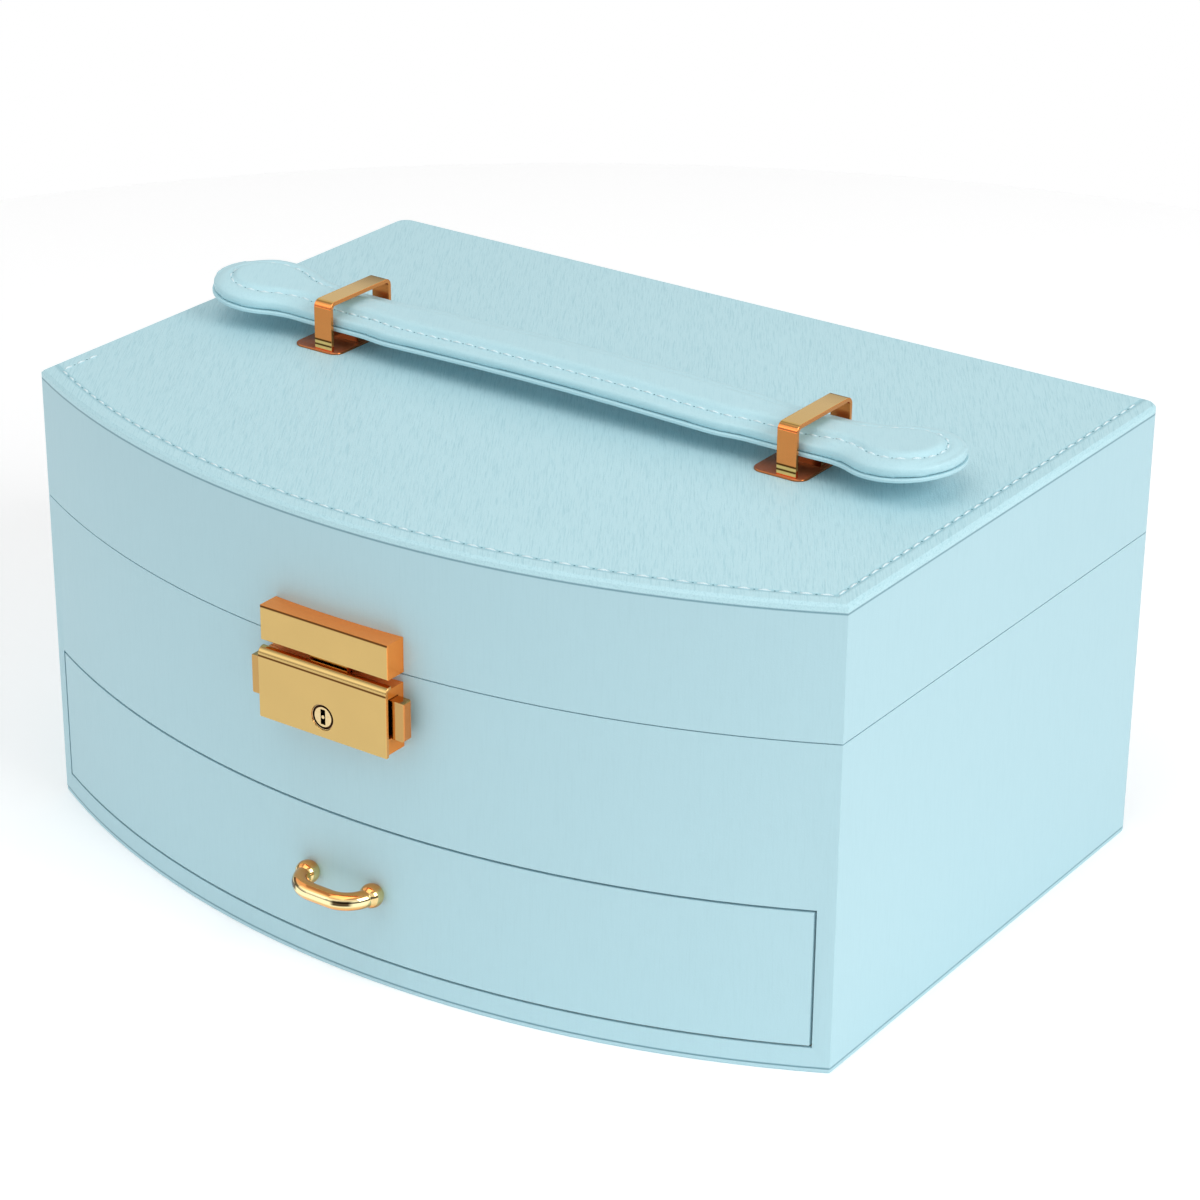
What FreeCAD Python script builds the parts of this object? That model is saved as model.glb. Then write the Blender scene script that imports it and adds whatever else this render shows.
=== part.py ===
import FreeCAD, Part
import math
import os
from types import SimpleNamespace

import Sketcher
from FreeCAD import Vector

# Jewelry box wrapped in leather: bowed front, hinged lid with a strap handle,
# squeeze lock, lined upper tray and a drawer below it.
# The origin is the centre of the base, midway between the front corners and
# the back, on the surface that the box stands on. +X right, +Y back, +Z up.

SIZES = (
    # Outer form
    ("case_width", 260.0),
    ("case_depth", 161.0),
    ("front_bow", 32.5),
    ("total_height", 130.3),
    ("seam_height", 93.0),
    ("seam_gap", 0.3),
    # Layers of the walls
    ("base_thick", 1.5),
    ("wrap_thick", 1.0),
    ("board_thick", 3.2),
    ("bottom_thick", 5.2),
    ("felt_thick", 0.5),
    ("lid_panel_thick", 2.4),
    ("lid_panel_chamfer", 0.8),
    ("lining_thick", 1.2),
    ("lining_drop", 0.5),
    # Tray under the lid
    ("divider_thick", 1.6),
    ("tray_divider_height", 30.0),
    ("ring_bay_width", 86.0),
    ("ring_roll_pitch", 14.6),
    ("ring_roll_gap", 0.4),
    ("ring_roll_height", 15.0),
    ("ring_roll_count", 7),
    ("tray_cross_y", -4.0),
    ("tray_back_x", 46.0),
    # Drawer
    ("drawer_opening", 39.7),
    ("drawer_gap", 0.7),
    ("drawer_float", 0.3),
    ("drawer_back_gap", 2.0),
    ("drawer_side_thick", 2.8),
    ("drawer_bottom_thick", 2.5),
    ("drawer_side_height", 34.5),
    ("drawer_lining_thick", 1.0),
    ("drawer_divider_height", 26.0),
    ("drawer_cross_y", -18.0),
    ("drawer_divider_x", 44.0),
    # Drawer pull
    ("pull_spacing", 21.4),
    ("pull_height", 27.5),
    ("pull_ball_radius", 3.3),
    ("pull_ball_lift", 2.1),
    ("pull_rod_radius", 2.4),
    ("pull_reach", 7.6),
    ("pull_screw_radius", 1.2),
    ("pull_screw_grip", 2.6),
    ("screw_head_radius", 2.6),
    ("screw_head_thick", 0.9),
    ("screw_clearance", 0.1),
    # Hinges
    ("hinge_spacing", 150.0),
    ("hinge_length", 26.0),
    ("hinge_leaf_height", 10.5),
    ("hinge_leaf_thick", 0.8),
    ("knuckle_radius", 1.6),
    ("knuckle_stand_off", 0.1),
    ("knuckle_gap", 0.2),
    ("hinge_pin_radius", 0.8),
    ("hinge_pin_clearance", 0.05),
    ("hinge_screw_spread", 17.0),
    ("hinge_screw_rise", 6.6),
    ("hinge_screw_radius", 0.9),
    ("hinge_screw_length", 3.6),
    ("hinge_head_radius", 1.7),
    ("hinge_head_thick", 0.5),
    # Mirror in the lid
    ("mirror_width", 176.0),
    ("mirror_height", 104.0),
    ("mirror_thick", 2.0),
    ("mirror_y", -8.0),
    ("mirror_rim", 6.0),
    ("mirror_lip", 4.0),
    ("mirror_lip_thick", 0.9),
    ("mirror_corner", 7.0),
    ("mirror_play", 0.2),
    # Lock body on the case
    ("lock_plate_width", 41.6),
    ("lock_plate_top", 92.0),
    ("lock_plate_height", 19.6),
    ("lock_plate_thick", 1.0),
    ("lock_plate_roll", 2.0),
    ("lock_plate_lip", 1.4),
    ("lock_case_width", 40.8),
    ("lock_case_depth", 5.9),
    ("lock_case_rise", 0.5),
    ("lock_wall", 1.2),
    ("lock_stud_spread", 28.0),
    ("lock_stud_inset", 2.6),
    ("lock_stud_radius", 1.0),
    ("lock_stud_clearance", 0.1),
    # Key cylinder
    ("cylinder_radius", 2.95),
    ("cylinder_height", 78.0),
    ("cylinder_clearance", 0.05),
    ("cylinder_recess", 0.3),
    ("cylinder_length", 3.6),
    ("cylinder_flange_radius", 3.5),
    ("cylinder_flange_length", 1.2),
    ("cylinder_rim", 0.15),
    ("cylinder_ring_width", 0.6),
    ("cylinder_ring_depth", 0.5),
    ("keyway_width", 1.5),
    ("keyway_height", 4.2),
    ("keyway_depth", 2.4),
    ("key_post_radius", 0.5),
    ("cam_reach", 3.4),
    ("cam_width", 3.2),
    ("cam_thick", 0.7),
    # Push buttons and their hooks
    ("button_height", 10.8),
    ("button_centre", 82.8),
    ("button_proud", 4.5),
    ("button_travel", 2.0),
    ("button_depth", 3.4),
    ("button_set_back", 0.9),
    ("button_clearance", 0.15),
    ("button_block_length", 12.5),
    ("button_round", 0.7),
    ("hook_bar_thick", 0.8),
    ("hook_bar_height", 1.9),
    ("hook_length", 1.2),
    ("hook_clearance", 0.4),
    ("lower_hook_height", 82.1),
    ("upper_hook_height", 84.4),
    ("spring_radius", 1.1),
    ("spring_wire", 0.3),
    ("spring_turns", 4),
    ("spring_length", 5.0),
    ("spring_height", 79.0),
    ("spring_post_x", 4.3),
    ("spring_post_thick", 0.9),
    ("spring_post_height", 3.4),
    # Strike on the lid
    ("strike_width", 41.2),
    ("strike_height", 9.7),
    ("strike_depth", 5.8),
    ("strike_rise", 0.5),
    ("strike_edge", 0.35),
    ("strike_stud_spread", 26.0),
    ("tongue_width", 12.0),
    ("tongue_thick", 1.5),
    ("tongue_bottom", 81.4),
    ("tongue_seat", 4.0),
    ("tongue_front", 2.1),
    ("tongue_lead", 1.2),
    ("tongue_clearance", 0.5),
    # Handle staples
    ("handle_centre_y", -10.6),
    ("staple_spacing", 152.6),
    ("staple_span", 27.0),
    ("staple_height", 14.8),
    ("staple_width", 6.0),
    ("staple_thick", 1.2),
    ("staple_bend", 2.2),
    ("staple_plate_width", 16.2),
    ("staple_plate_shift", -2.6),
    ("staple_plate_margin", 0.8),
    ("staple_plate_thick", 0.6),
    ("staple_plate_corner", 3.2),
    ("staple_plate_chamfer", 0.2),
    ("saddle_width", 9.0),
    ("saddle_length", 7.0),
    ("saddle_height", 4.8),
    ("saddle_chamfer", 0.8),
    # Strap of the handle
    ("strap_shift", -1.7),
    ("strap_tip_x", 121.0),
    ("strap_paddle_half", 15.5),
    ("strap_shoulder_x", 87.0),
    ("strap_neck_half", 10.6),
    ("strap_neck_x", 66.0),
    ("strap_grip_half", 12.0),
    ("strap_grip_x", 52.0),
    ("strap_rest_gap", 0.3),
    ("strap_arch", 1.0),
    ("strap_tip_rise", 2.6),
    ("strap_backing_thick", 1.1),
    ("strap_backing_lip", 0.4),
    ("strap_margin_thick", 2.8),
    ("strap_crown_inset", 5.6),
    ("strap_crown_thick", 2.0),
    ("strap_crown_chamfer", 0.9),
)

doc = FreeCAD.newDocument("JewelryBox")


class Dim:
    """A size kept both as a number and as the expression that gives it."""

    def __init__(self, number, text):
        self.number = float(number)
        self.text = text

    def __add__(self, other):
        other = as_dim(other)
        return Dim(self.number + other.number, f"({self.text} + {other.text})")

    def __sub__(self, other):
        other = as_dim(other)
        return Dim(self.number - other.number, f"({self.text} - {other.text})")

    def __mul__(self, other):
        other = as_dim(other)
        return Dim(self.number * other.number, f"({self.text} * {other.text})")

    def __truediv__(self, other):
        other = as_dim(other)
        return Dim(self.number / other.number, f"({self.text} / {other.text})")

    def __neg__(self):
        return Dim(-self.number, f"(-1 * {self.text})")

    def __radd__(self, other):
        return as_dim(other) + self

    def __rsub__(self, other):
        return as_dim(other) - self

    def __rmul__(self, other):
        return as_dim(other) * self


def as_dim(value):
    """Wrap a plain number, so that it can be mixed with sizes."""
    return value if isinstance(value, Dim) else Dim(value, f"({value})")


def root(value):
    """Square root of a size."""
    return Dim(math.sqrt(value.number), f"sqrt({value.text})")


def size_sheet():
    """Write the driving sizes to the spreadsheet and return them as Dim values."""
    sheet = doc.addObject("Spreadsheet::Sheet", "Sizes")
    named = {}
    for row, (name, number) in enumerate(SIZES, start=1):
        sheet.set(f"A{row}", name)
        sheet.set(f"B{row}", str(number))
        sheet.setAlias(f"B{row}", name)
    doc.recompute()
    for name, _ in SIZES:
        named[name] = Dim(sheet.get(name), f"Sizes.{name}")
    return SimpleNamespace(**named)


size = size_sheet()

# Places that several pieces share
half_width = size.case_width / 2
back_y = size.case_depth / 2
apex_y = -back_y - size.front_bow
bow_radius = (half_width * half_width + size.front_bow * size.front_bow) / (size.front_bow * 2)
bow_centre_y = apex_y + bow_radius
wall_thick = size.wrap_thick + size.board_thick
floor_z = size.base_thick + size.bottom_thick + size.felt_thick
opening_top = floor_z + size.drawer_opening
deck_top = opening_top + size.board_thick
lid_bottom = size.seam_height + size.seam_gap
panel_bottom = size.total_height - size.lid_panel_thick
lid_ceiling = panel_bottom - size.board_thick


def bow_y(x, inset):
    """Y of the bowed front at x, on the arc that lies inset inside the leather."""
    radius = bow_radius - inset
    return bow_centre_y - root(radius * radius - x * x)


def bind(thing, path, value):
    """Tie a property to the sheet, or set it when it is a plain number."""
    if isinstance(value, Dim):
        thing.setExpression(path, value.text)
    else:
        setattr(thing, path, value)


def plane_of(body, role):
    """The origin plane of a body that has this role."""
    return [item for item in body.Origin.OriginFeatures if item.Role == role][0]


def arc_between(begin, end, radius, turn):
    """Arc geometry from begin to end; turn +1 keeps its centre to the left."""
    chord = end - begin
    middle = (begin + end) * 0.5
    across = Vector(-chord.y, chord.x, 0).normalize()
    rise = math.sqrt(max(radius * radius - chord.Length ** 2 / 4, 0.0))
    centre = middle + across * (rise * turn)
    circle = Part.Circle(centre, Vector(0, 0, 1), radius)
    first, last = (begin, end) if turn > 0 else (end, begin)
    from_angle = math.atan2(first.y - centre.y, first.x - centre.x)
    to_angle = math.atan2(last.y - centre.y, last.x - centre.x)
    return Part.ArcOfCircle(circle, from_angle, to_angle)


def place_point(sketch, geometry, point, x, y):
    """Fix one point of a sketch at x, y from the sketch's origin."""
    for kind, value in (("DistanceX", x), ("DistanceY", y)):
        value = as_dim(value)
        constraint = Sketcher.Constraint(kind, -1, 1, geometry, point, value.number)
        index = sketch.addConstraint(constraint)
        sketch.setExpression(f"Constraints[{index}]", value.text)


def place_radius(sketch, geometry, radius):
    """Fix the radius of a circle or an arc."""
    index = sketch.addConstraint(Sketcher.Constraint("Radius", geometry, radius.number))
    sketch.setExpression(f"Constraints[{index}]", radius.text)


def add_run(sketch, corners, closed):
    """Add a run of edges. A corner is (x, y), or (x, y, radius, turn) when the
    edge that leaves it is an arc."""
    points = [Vector(as_dim(c[0]).number, as_dim(c[1]).number, 0) for c in corners]
    leaving = corners if closed else corners[:-1]
    edges = []
    for place, corner in enumerate(leaving):
        begin, end = points[place], points[(place + 1) % len(points)]
        if len(corner) == 2:
            index = sketch.addGeometry(Part.LineSegment(begin, end), False)
            edges.append((index, 1, 2))
        else:
            arc = arc_between(begin, end, as_dim(corner[2]).number, corner[3])
            index = sketch.addGeometry(arc, False)
            edges.append((index, 1, 2) if corner[3] > 0 else (index, 2, 1))
    for place, (index, first, last) in enumerate(edges):
        corner = corners[place]
        place_point(sketch, index, first, corner[0], corner[1])
        if len(corner) == 4:
            place_radius(sketch, index, as_dim(corner[2]))
        if closed or place + 1 < len(edges):
            following, opening, _ = edges[(place + 1) % len(edges)]
            sketch.addConstraint(Sketcher.Constraint("Coincident", index, last, following, opening))
        else:
            place_point(sketch, index, last, corners[-1][0], corners[-1][1])


def add_circle(sketch, x, y, radius):
    """Add a full circle."""
    centre = Vector(as_dim(x).number, as_dim(y).number, 0)
    circle = Part.Circle(centre, Vector(0, 0, 1), as_dim(radius).number)
    index = sketch.addGeometry(circle, False)
    place_point(sketch, index, 3, x, y)
    place_radius(sketch, index, as_dim(radius))


def new_sketch(body, role, lift, loops=(), circles=()):
    """Sketch on an origin plane of the body, lifted along the plane's normal."""
    sketch = body.newObject("Sketcher::SketchObject", f"{body.Label}_sketch")
    sketch.AttachmentSupport = [(plane_of(body, role), "")]
    sketch.MapMode = "FlatFace"
    sketch.setExpression("AttachmentOffset.Base.z", as_dim(lift).text)
    for loop in loops:
        add_run(sketch, loop, closed=True)
    for circle in circles:
        add_circle(sketch, *circle)
    return sketch


def pad(body, role, lift, length, loops=(), circles=()):
    """Add material from the lifted plane along its normal."""
    sketch = new_sketch(body, role, lift, loops, circles)
    feature = body.newObject("PartDesign::Pad", f"{body.Label}_pad")
    feature.Profile = sketch
    bind(feature, "Length", length)
    doc.recompute()
    return feature


def pocket(body, role, lift, depth, loops=(), circles=(), forward=False):
    """Cut material from the lifted plane against its normal, or along it."""
    before = body.Shape.Volume
    sketch = new_sketch(body, role, lift, loops, circles)
    feature = body.newObject("PartDesign::Pocket", f"{body.Label}_pocket")
    feature.Profile = sketch
    feature.Reversed = forward
    bind(feature, "Length", depth)
    doc.recompute()
    if not body.Shape.Volume < before - 1e-6:
        raise RuntimeError(f"a pocket of {body.Label} cuts nothing")
    return feature


def fillet(body, radius, wanted):
    """Round the edges of the body that the test picks."""
    return dress(body, "Fillet", "Radius", radius, wanted)


def chamfer(body, width, wanted):
    """Bevel the edges of the body that the test picks."""
    return dress(body, "Chamfer", "Size", width, wanted)


def at_height(level):
    """Test for edges that lie level at this height."""
    return lambda edge: all(abs(vertex.Z - level.number) < 1e-4 for vertex in edge.Vertexes)


def dress(body, kind, width_name, width, wanted):
    """Add a fillet or a chamfer to the edges that the test picks."""
    base = body.Tip
    names = []
    for number, edge in enumerate(base.Shape.Edges, start=1):
        if wanted(edge):
            names.append(f"Edge{number}")
    if not names:
        raise RuntimeError(f"no edge of {body.Label} to dress")
    feature = body.newObject(f"PartDesign::{kind}", f"{body.Label}_{kind.lower()}")
    feature.Base = (base, names)
    bind(feature, width_name, width)
    doc.recompute()
    return feature


def new_body(label):
    """An empty body whose label names the piece."""
    return doc.addObject("PartDesign::Body", label)


def box(label, x, y, z, length, width, height):
    """A board: a plain box from its lowest corner."""
    board = doc.addObject("Part::Box", label)
    for path, value in (
        ("Placement.Base.x", x),
        ("Placement.Base.y", y),
        ("Placement.Base.z", z),
        ("Length", length),
        ("Width", width),
        ("Height", height),
    ):
        board.setExpression(path, as_dim(value).text)
    return board


def group(label, members):
    """Like pieces that share one node, kept as separate solids."""
    together = doc.addObject("Part::Compound", label)
    together.Links = members
    return together


def rectangle(left, right, low, high):
    """A rectangular outline."""
    return [(left, low), (right, low), (right, high), (left, high)]


def centred(width, low, high):
    """A rectangular outline that is centred on the sketch's vertical axis."""
    return rectangle(-width / 2, width / 2, low, high)


def footprint(inset, rounded=True):
    """Outline of the box in plan, inset from the leather's outer face."""
    side = half_width - inset
    back = back_y - inset
    front = bow_y(side, inset)
    radius = bow_radius - inset
    if not rounded:
        return [(-side, front, radius, 1), (side, front), (side, back), (-side, back)]
    corner = wall_thick - inset
    return [
        (-side, front, radius, 1),
        (side, front),
        (side, back - corner, corner, 1),
        (side - corner, back),
        (-side + corner, back, corner, 1),
        (-side, back - corner),
    ]


def floor_outline(front_inset, side, back):
    """Outline of a floor that fits between side faces, a back and the bow."""
    front = bow_y(side, front_inset)
    return [(-side, front, bow_radius - front_inset, 1), (side, front), (side, back), (-side, back)]


def bow_strip(outer_inset, inner_inset, side):
    """Outline of a bowed panel between two arcs, cut off at its sides."""
    outer = bow_y(side, outer_inset)
    inner = bow_y(side, inner_inset)
    return [
        (-side, outer, bow_radius - outer_inset, 1),
        (side, outer),
        (side, inner, bow_radius - inner_inset, -1),
        (-side, inner),
    ]


def side_outline(side, inner_x, outer_x, front_inset, back):
    """Outline of a side board whose front end follows the bow."""
    radius = bow_radius - front_inset
    near, far = bow_y(inner_x, front_inset), bow_y(outer_x, front_inset)
    if side > 0:
        return [(inner_x, near, radius, 1), (outer_x, far), (outer_x, back), (inner_x, back)]
    return [(-outer_x, far, radius, 1), (-inner_x, near), (-inner_x, back), (-outer_x, back)]


inner_side = half_width - wall_thick
inner_back = back_y - wall_thick
button_low = size.button_centre - size.button_height / 2
button_high = size.button_centre + size.button_height / 2
lock_front = apex_y - size.lock_case_depth
lock_case_low = size.lock_plate_top - size.lock_plate_height + size.lock_case_rise
lock_case_high = size.lock_plate_top - size.lock_plate_thick
stud_end = apex_y + wall_thick
nodes = {}


def keep(node):
    """Note a finished piece under its label, to be written as a file."""
    nodes[node.Label] = node
    return node


def lock_stud_places():
    """Centres in X and Z of the studs that hold the lock body."""
    low = lock_case_low + size.lock_stud_inset
    high = lock_case_high - size.lock_stud_inset
    spread = size.lock_stud_spread / 2
    return [(-spread, low), (spread, low), (-spread, high), (spread, high)]


def strike_stud_places():
    """Centres in X and Z of the two studs that hold the strike."""
    middle = lid_bottom + size.strike_rise + size.strike_height / 2
    spread = size.strike_stud_spread / 2
    return [(-spread, middle), (spread, middle)]


def pull_places():
    """Centres in X and Z of the feet of the drawer pull."""
    spread = size.pull_spacing / 2
    return [(-spread, size.pull_height), (spread, size.pull_height)]


def hinge_screw_places(upper):
    """Centres in X and Z of the screws in the case leaves or the lid leaves."""
    rise = size.hinge_screw_rise if upper else -size.hinge_screw_rise
    height = size.seam_height + size.seam_gap / 2 + rise
    places = []
    for side in (-1, 1):
        middle = size.hinge_spacing / 2 * side
        for end in (-1, 1):
            places.append((middle + size.hinge_screw_spread / 2 * end, height))
    return places


def bore_front(body, places, radius, depth):
    """Bore round holes through the bowed front, from just outside the leather."""
    circles = [(x, z, radius) for x, z in places]
    start = apex_y - size.wrap_thick
    pocket(body, "XZ_Plane", -start, depth + size.wrap_thick, circles=circles)


def bore_back(body, places, radius, depth):
    """Bore round holes into the back, from just outside the leather."""
    circles = [(x, z, radius) for x, z in places]
    start = back_y + size.wrap_thick
    pocket(body, "XZ_Plane", -start, depth + size.wrap_thick, circles=circles, forward=True)


bore_reach = wall_thick + size.front_bow / 4


def make_base():
    """Thin base board and the bottom board that stands on it."""
    base = new_body("base_board")
    pad(base, "XY_Plane", 0, size.base_thick, [footprint(as_dim(0))])
    keep(base)
    bottom = new_body("bottom_board")
    outline = floor_outline(size.wrap_thick, inner_side, inner_back)
    pad(bottom, "XY_Plane", size.base_thick, size.bottom_thick, [outline])
    keep(bottom)
    felt = new_body("bay_felt")
    pad(felt, "XY_Plane", floor_z - size.felt_thick, size.felt_thick, [outline])
    keep(felt)


def back_board_outline():
    """Outline of a back board whose outer corners are a quarter round."""
    side = half_width - size.wrap_thick
    outer = back_y - size.wrap_thick
    corner = size.board_thick
    return [
        (-side, inner_back),
        (side, inner_back, corner, 1),
        (side - corner, outer),
        (-side + corner, outer, corner, 1),
    ]


def make_walls(prefix, low, high, upper):
    """Left, right and back boards of the case or of the lid."""
    for side, name in ((-1, "left"), (1, "right")):
        board = new_body(f"{prefix}_side_{name}")
        outline = side_outline(side, inner_side, half_width - size.wrap_thick, size.wrap_thick, inner_back)
        pad(board, "XY_Plane", low, high - low, [outline])
        keep(board)
    back = new_body(f"{prefix}_back")
    pad(back, "XY_Plane", low, high - low, [back_board_outline()])
    screw_depth = size.hinge_screw_length + size.wrap_thick
    bore_back(back, hinge_screw_places(upper), size.hinge_screw_radius, screw_depth)
    keep(back)


def make_front_boards():
    """Bowed boards of the case front above the drawer and of the lid front."""
    outline = bow_strip(size.wrap_thick, wall_thick, inner_side)
    band = new_body("case_front_band")
    pad(band, "XY_Plane", opening_top, size.seam_height - opening_top, [outline])
    stud_hole = size.lock_stud_radius + size.lock_stud_clearance
    bore_front(band, lock_stud_places(), stud_hole, bore_reach)
    keep(band)
    front = new_body("lid_front")
    pad(front, "XY_Plane", lid_bottom, lid_ceiling - lid_bottom, [outline])
    bore_front(front, strike_stud_places(), stud_hole, bore_reach)
    keep(front)


def make_deck():
    """Board between the drawer bay and the upper tray."""
    deck = new_body("deck_board")
    pad(deck, "XY_Plane", opening_top, size.board_thick, [floor_outline(wall_thick, inner_side, inner_back)])
    keep(deck)


def make_case_leather():
    """Leather wrap of the case, cut away for the drawer front."""
    leather = new_body("case_leather")
    rings = [footprint(as_dim(0)), footprint(size.wrap_thick)]
    pad(leather, "XY_Plane", size.base_thick, size.seam_height - size.base_thick, rings)
    start = apex_y - size.wrap_thick
    opening = rectangle(-inner_side, inner_side, floor_z, opening_top)
    pocket(leather, "XZ_Plane", -start, size.front_bow + wall_thick, [opening])
    stud_hole = size.lock_stud_radius + size.lock_stud_clearance
    bore_front(leather, lock_stud_places(), stud_hole, bore_reach)
    bore_back(leather, hinge_screw_places(False), size.hinge_screw_radius, wall_thick)
    keep(leather)


def make_lid_skin():
    """Top board, leather band and stitched top panel of the lid."""
    board = new_body("lid_top_board")
    pad(board, "XY_Plane", lid_ceiling, size.board_thick, [footprint(size.wrap_thick)])
    pocket(board, "XY_Plane", panel_bottom, size.board_thick, staple_slots())
    keep(board)
    leather = new_body("lid_leather")
    rings = [footprint(as_dim(0)), footprint(size.wrap_thick)]
    pad(leather, "XY_Plane", lid_bottom, panel_bottom - lid_bottom, rings)
    stud_hole = size.lock_stud_radius + size.lock_stud_clearance
    bore_front(leather, strike_stud_places(), stud_hole, bore_reach)
    bore_back(leather, hinge_screw_places(True), size.hinge_screw_radius, wall_thick)
    keep(leather)
    panel = new_body("lid_panel")
    pad(panel, "XY_Plane", panel_bottom, size.lid_panel_thick, [footprint(as_dim(0))])
    chamfer(panel, size.lid_panel_chamfer, at_height(size.total_height))
    pocket(panel, "XY_Plane", size.total_height, size.lid_panel_thick, staple_slots())
    keep(panel)


def staple_slots(sides=(-1, 1)):
    """Rectangular slots in plan for the legs of the staples."""
    slots = []
    for side in sides:
        middle = size.staple_spacing / 2 * side
        left, right = middle - size.staple_width / 2, middle + size.staple_width / 2
        for leg in (-1, 1):
            outer = size.handle_centre_y + size.staple_span / 2 * leg
            inner = outer - size.staple_thick * leg
            low, high = (outer, inner) if leg < 0 else (inner, outer)
            slots.append(rectangle(left, right, low, high))
    return slots


def make_linings():
    """Velvet linings of the tray and of the lid, each a thin pan."""
    tray = new_body("tray_lining")
    tray_top = size.seam_height - size.lining_drop
    pad(tray, "XY_Plane", deck_top, tray_top - deck_top, [footprint(wall_thick, False)])
    room = footprint(wall_thick + size.lining_thick, False)
    pocket(tray, "XY_Plane", tray_top, tray_top - deck_top - size.lining_thick, [room])
    keep(tray)
    lid = new_body("lid_lining")
    lid_low = lid_bottom + size.lining_drop
    pad(lid, "XY_Plane", lid_low, lid_ceiling - lid_low, [footprint(wall_thick, False)])
    depth = lid_ceiling - lid_low - size.lining_thick
    pocket(lid, "XY_Plane", lid_low, depth, [room], forward=True)
    keep(lid)


tray_floor = deck_top + size.lining_thick
tray_inset = wall_thick + size.lining_thick
tray_side = half_width - tray_inset
tray_back = back_y - tray_inset
ring_bay_x = -tray_side + size.ring_bay_width
ring_bay_front = tray_back - size.ring_roll_pitch * size.ring_roll_count


def divider_along_y(label, left, thick, front_inset, back, low, height):
    """Divider that runs from the bowed front to a straight back face."""
    right = left + thick
    outline = [
        (left, bow_y(left, front_inset), bow_radius - front_inset, 1),
        (right, bow_y(right, front_inset)),
        (right, back),
        (left, back),
    ]
    body = new_body(label)
    pad(body, "XY_Plane", low, height, [outline])
    return keep(body)


def make_tray():
    """Dividers of the tray and the row of ring rolls."""
    thick = size.divider_thick
    height = size.tray_divider_height
    divider_along_y("tray_divider_long", ring_bay_x, thick, tray_inset, tray_back, tray_floor, height)
    front_y = ring_bay_front - thick
    keep(box("tray_divider_ring", -tray_side, front_y, tray_floor, size.ring_bay_width, thick, height))
    cross_left = ring_bay_x + thick
    cross_y = size.tray_cross_y
    keep(box("tray_divider_cross", cross_left, cross_y, tray_floor, tray_side - cross_left, thick, height))
    back_start = cross_y + thick
    back_length = tray_back - back_start
    keep(box("tray_divider_back", size.tray_back_x, back_start, tray_floor, thick, back_length, height))
    make_ring_rolls()


def make_ring_rolls():
    """Row of soft rolls that grip rings between them: flat below, round on top."""
    rolls = []
    radius = (size.ring_roll_pitch - size.ring_roll_gap) / 2
    shoulder = tray_floor + size.ring_roll_height - radius
    for place in range(int(size.ring_roll_count.number)):
        middle = tray_back - size.ring_roll_pitch * (place + 0.5)
        outline = [
            (middle - radius, tray_floor),
            (middle + radius, tray_floor),
            (middle + radius, shoulder, radius, 1),
            (middle, shoulder + radius, radius, 1),
            (middle - radius, shoulder),
        ]
        roll = new_body(f"ring_roll_{place + 1}")
        start = -tray_side + size.ring_roll_gap
        pad(roll, "YZ_Plane", start, size.ring_bay_width - size.ring_roll_gap * 2, [outline])
        rolls.append(roll)
    keep(group("ring_rolls", rolls))


drawer_side = inner_side - size.drawer_gap
drawer_low = floor_z + size.drawer_float
drawer_back = inner_back - size.drawer_back_gap
drawer_front_low = floor_z + size.drawer_gap
drawer_front_high = opening_top - size.drawer_gap
drawer_floor = drawer_low + size.drawer_bottom_thick


def make_drawer_box():
    """Bowed front with its leather, sides, back and bottom of the drawer."""
    front_height = drawer_front_high - drawer_front_low
    board = new_body("drawer_front_board")
    core = bow_strip(size.wrap_thick, wall_thick, drawer_side)
    pad(board, "XY_Plane", drawer_front_low, front_height, [core])
    screw_hole = size.pull_screw_radius + size.screw_clearance
    bore_front(board, pull_places(), screw_hole, bore_reach)
    keep(board)
    leather = new_body("drawer_front_leather")
    skin = bow_strip(as_dim(0), size.wrap_thick, drawer_side)
    pad(leather, "XY_Plane", drawer_front_low, front_height, [skin])
    bore_front(leather, pull_places(), screw_hole, bore_reach)
    keep(leather)
    inner_x = drawer_side - size.drawer_side_thick
    for side, name in ((-1, "left"), (1, "right")):
        wall = new_body(f"drawer_side_{name}")
        outline = side_outline(side, inner_x, drawer_side, wall_thick, drawer_back)
        pad(wall, "XY_Plane", drawer_low, size.drawer_side_height, [outline])
        keep(wall)
    back_low = drawer_back - size.drawer_side_thick
    thick, height = size.drawer_side_thick, size.drawer_side_height
    keep(box("drawer_back", -inner_x, back_low, drawer_low, inner_x * 2, thick, height))
    bottom = new_body("drawer_bottom")
    floor = floor_outline(wall_thick, inner_x, back_low)
    pad(bottom, "XY_Plane", drawer_low, size.drawer_bottom_thick, [floor])
    keep(bottom)


def make_drawer_inside():
    """Velvet pan and dividers of the drawer."""
    thick = size.drawer_lining_thick
    inner_x = drawer_side - size.drawer_side_thick
    inner_y = drawer_back - size.drawer_side_thick
    height = size.drawer_side_height - size.drawer_bottom_thick - size.lining_drop
    lining = new_body("drawer_lining")
    pad(lining, "XY_Plane", drawer_floor, height, [floor_outline(wall_thick, inner_x, inner_y)])
    room = floor_outline(wall_thick + thick, inner_x - thick, inner_y - thick)
    pocket(lining, "XY_Plane", drawer_floor + height, height - thick, [room])
    head_hole = size.screw_head_radius + size.screw_clearance
    bore_front(lining, pull_places(), head_hole, bore_reach)
    keep(lining)
    low = drawer_floor + thick
    side = inner_x - thick
    wall = size.divider_thick
    tall = size.drawer_divider_height
    keep(box("drawer_divider_cross", -side, size.drawer_cross_y, low, side * 2, wall, tall))
    start = size.drawer_cross_y + wall
    length = inner_y - thick - start
    left = -size.drawer_divider_x - wall
    keep(box("drawer_divider_left", left, start, low, wall, length, tall))
    keep(box("drawer_divider_right", size.drawer_divider_x, start, low, wall, length, tall))


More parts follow.
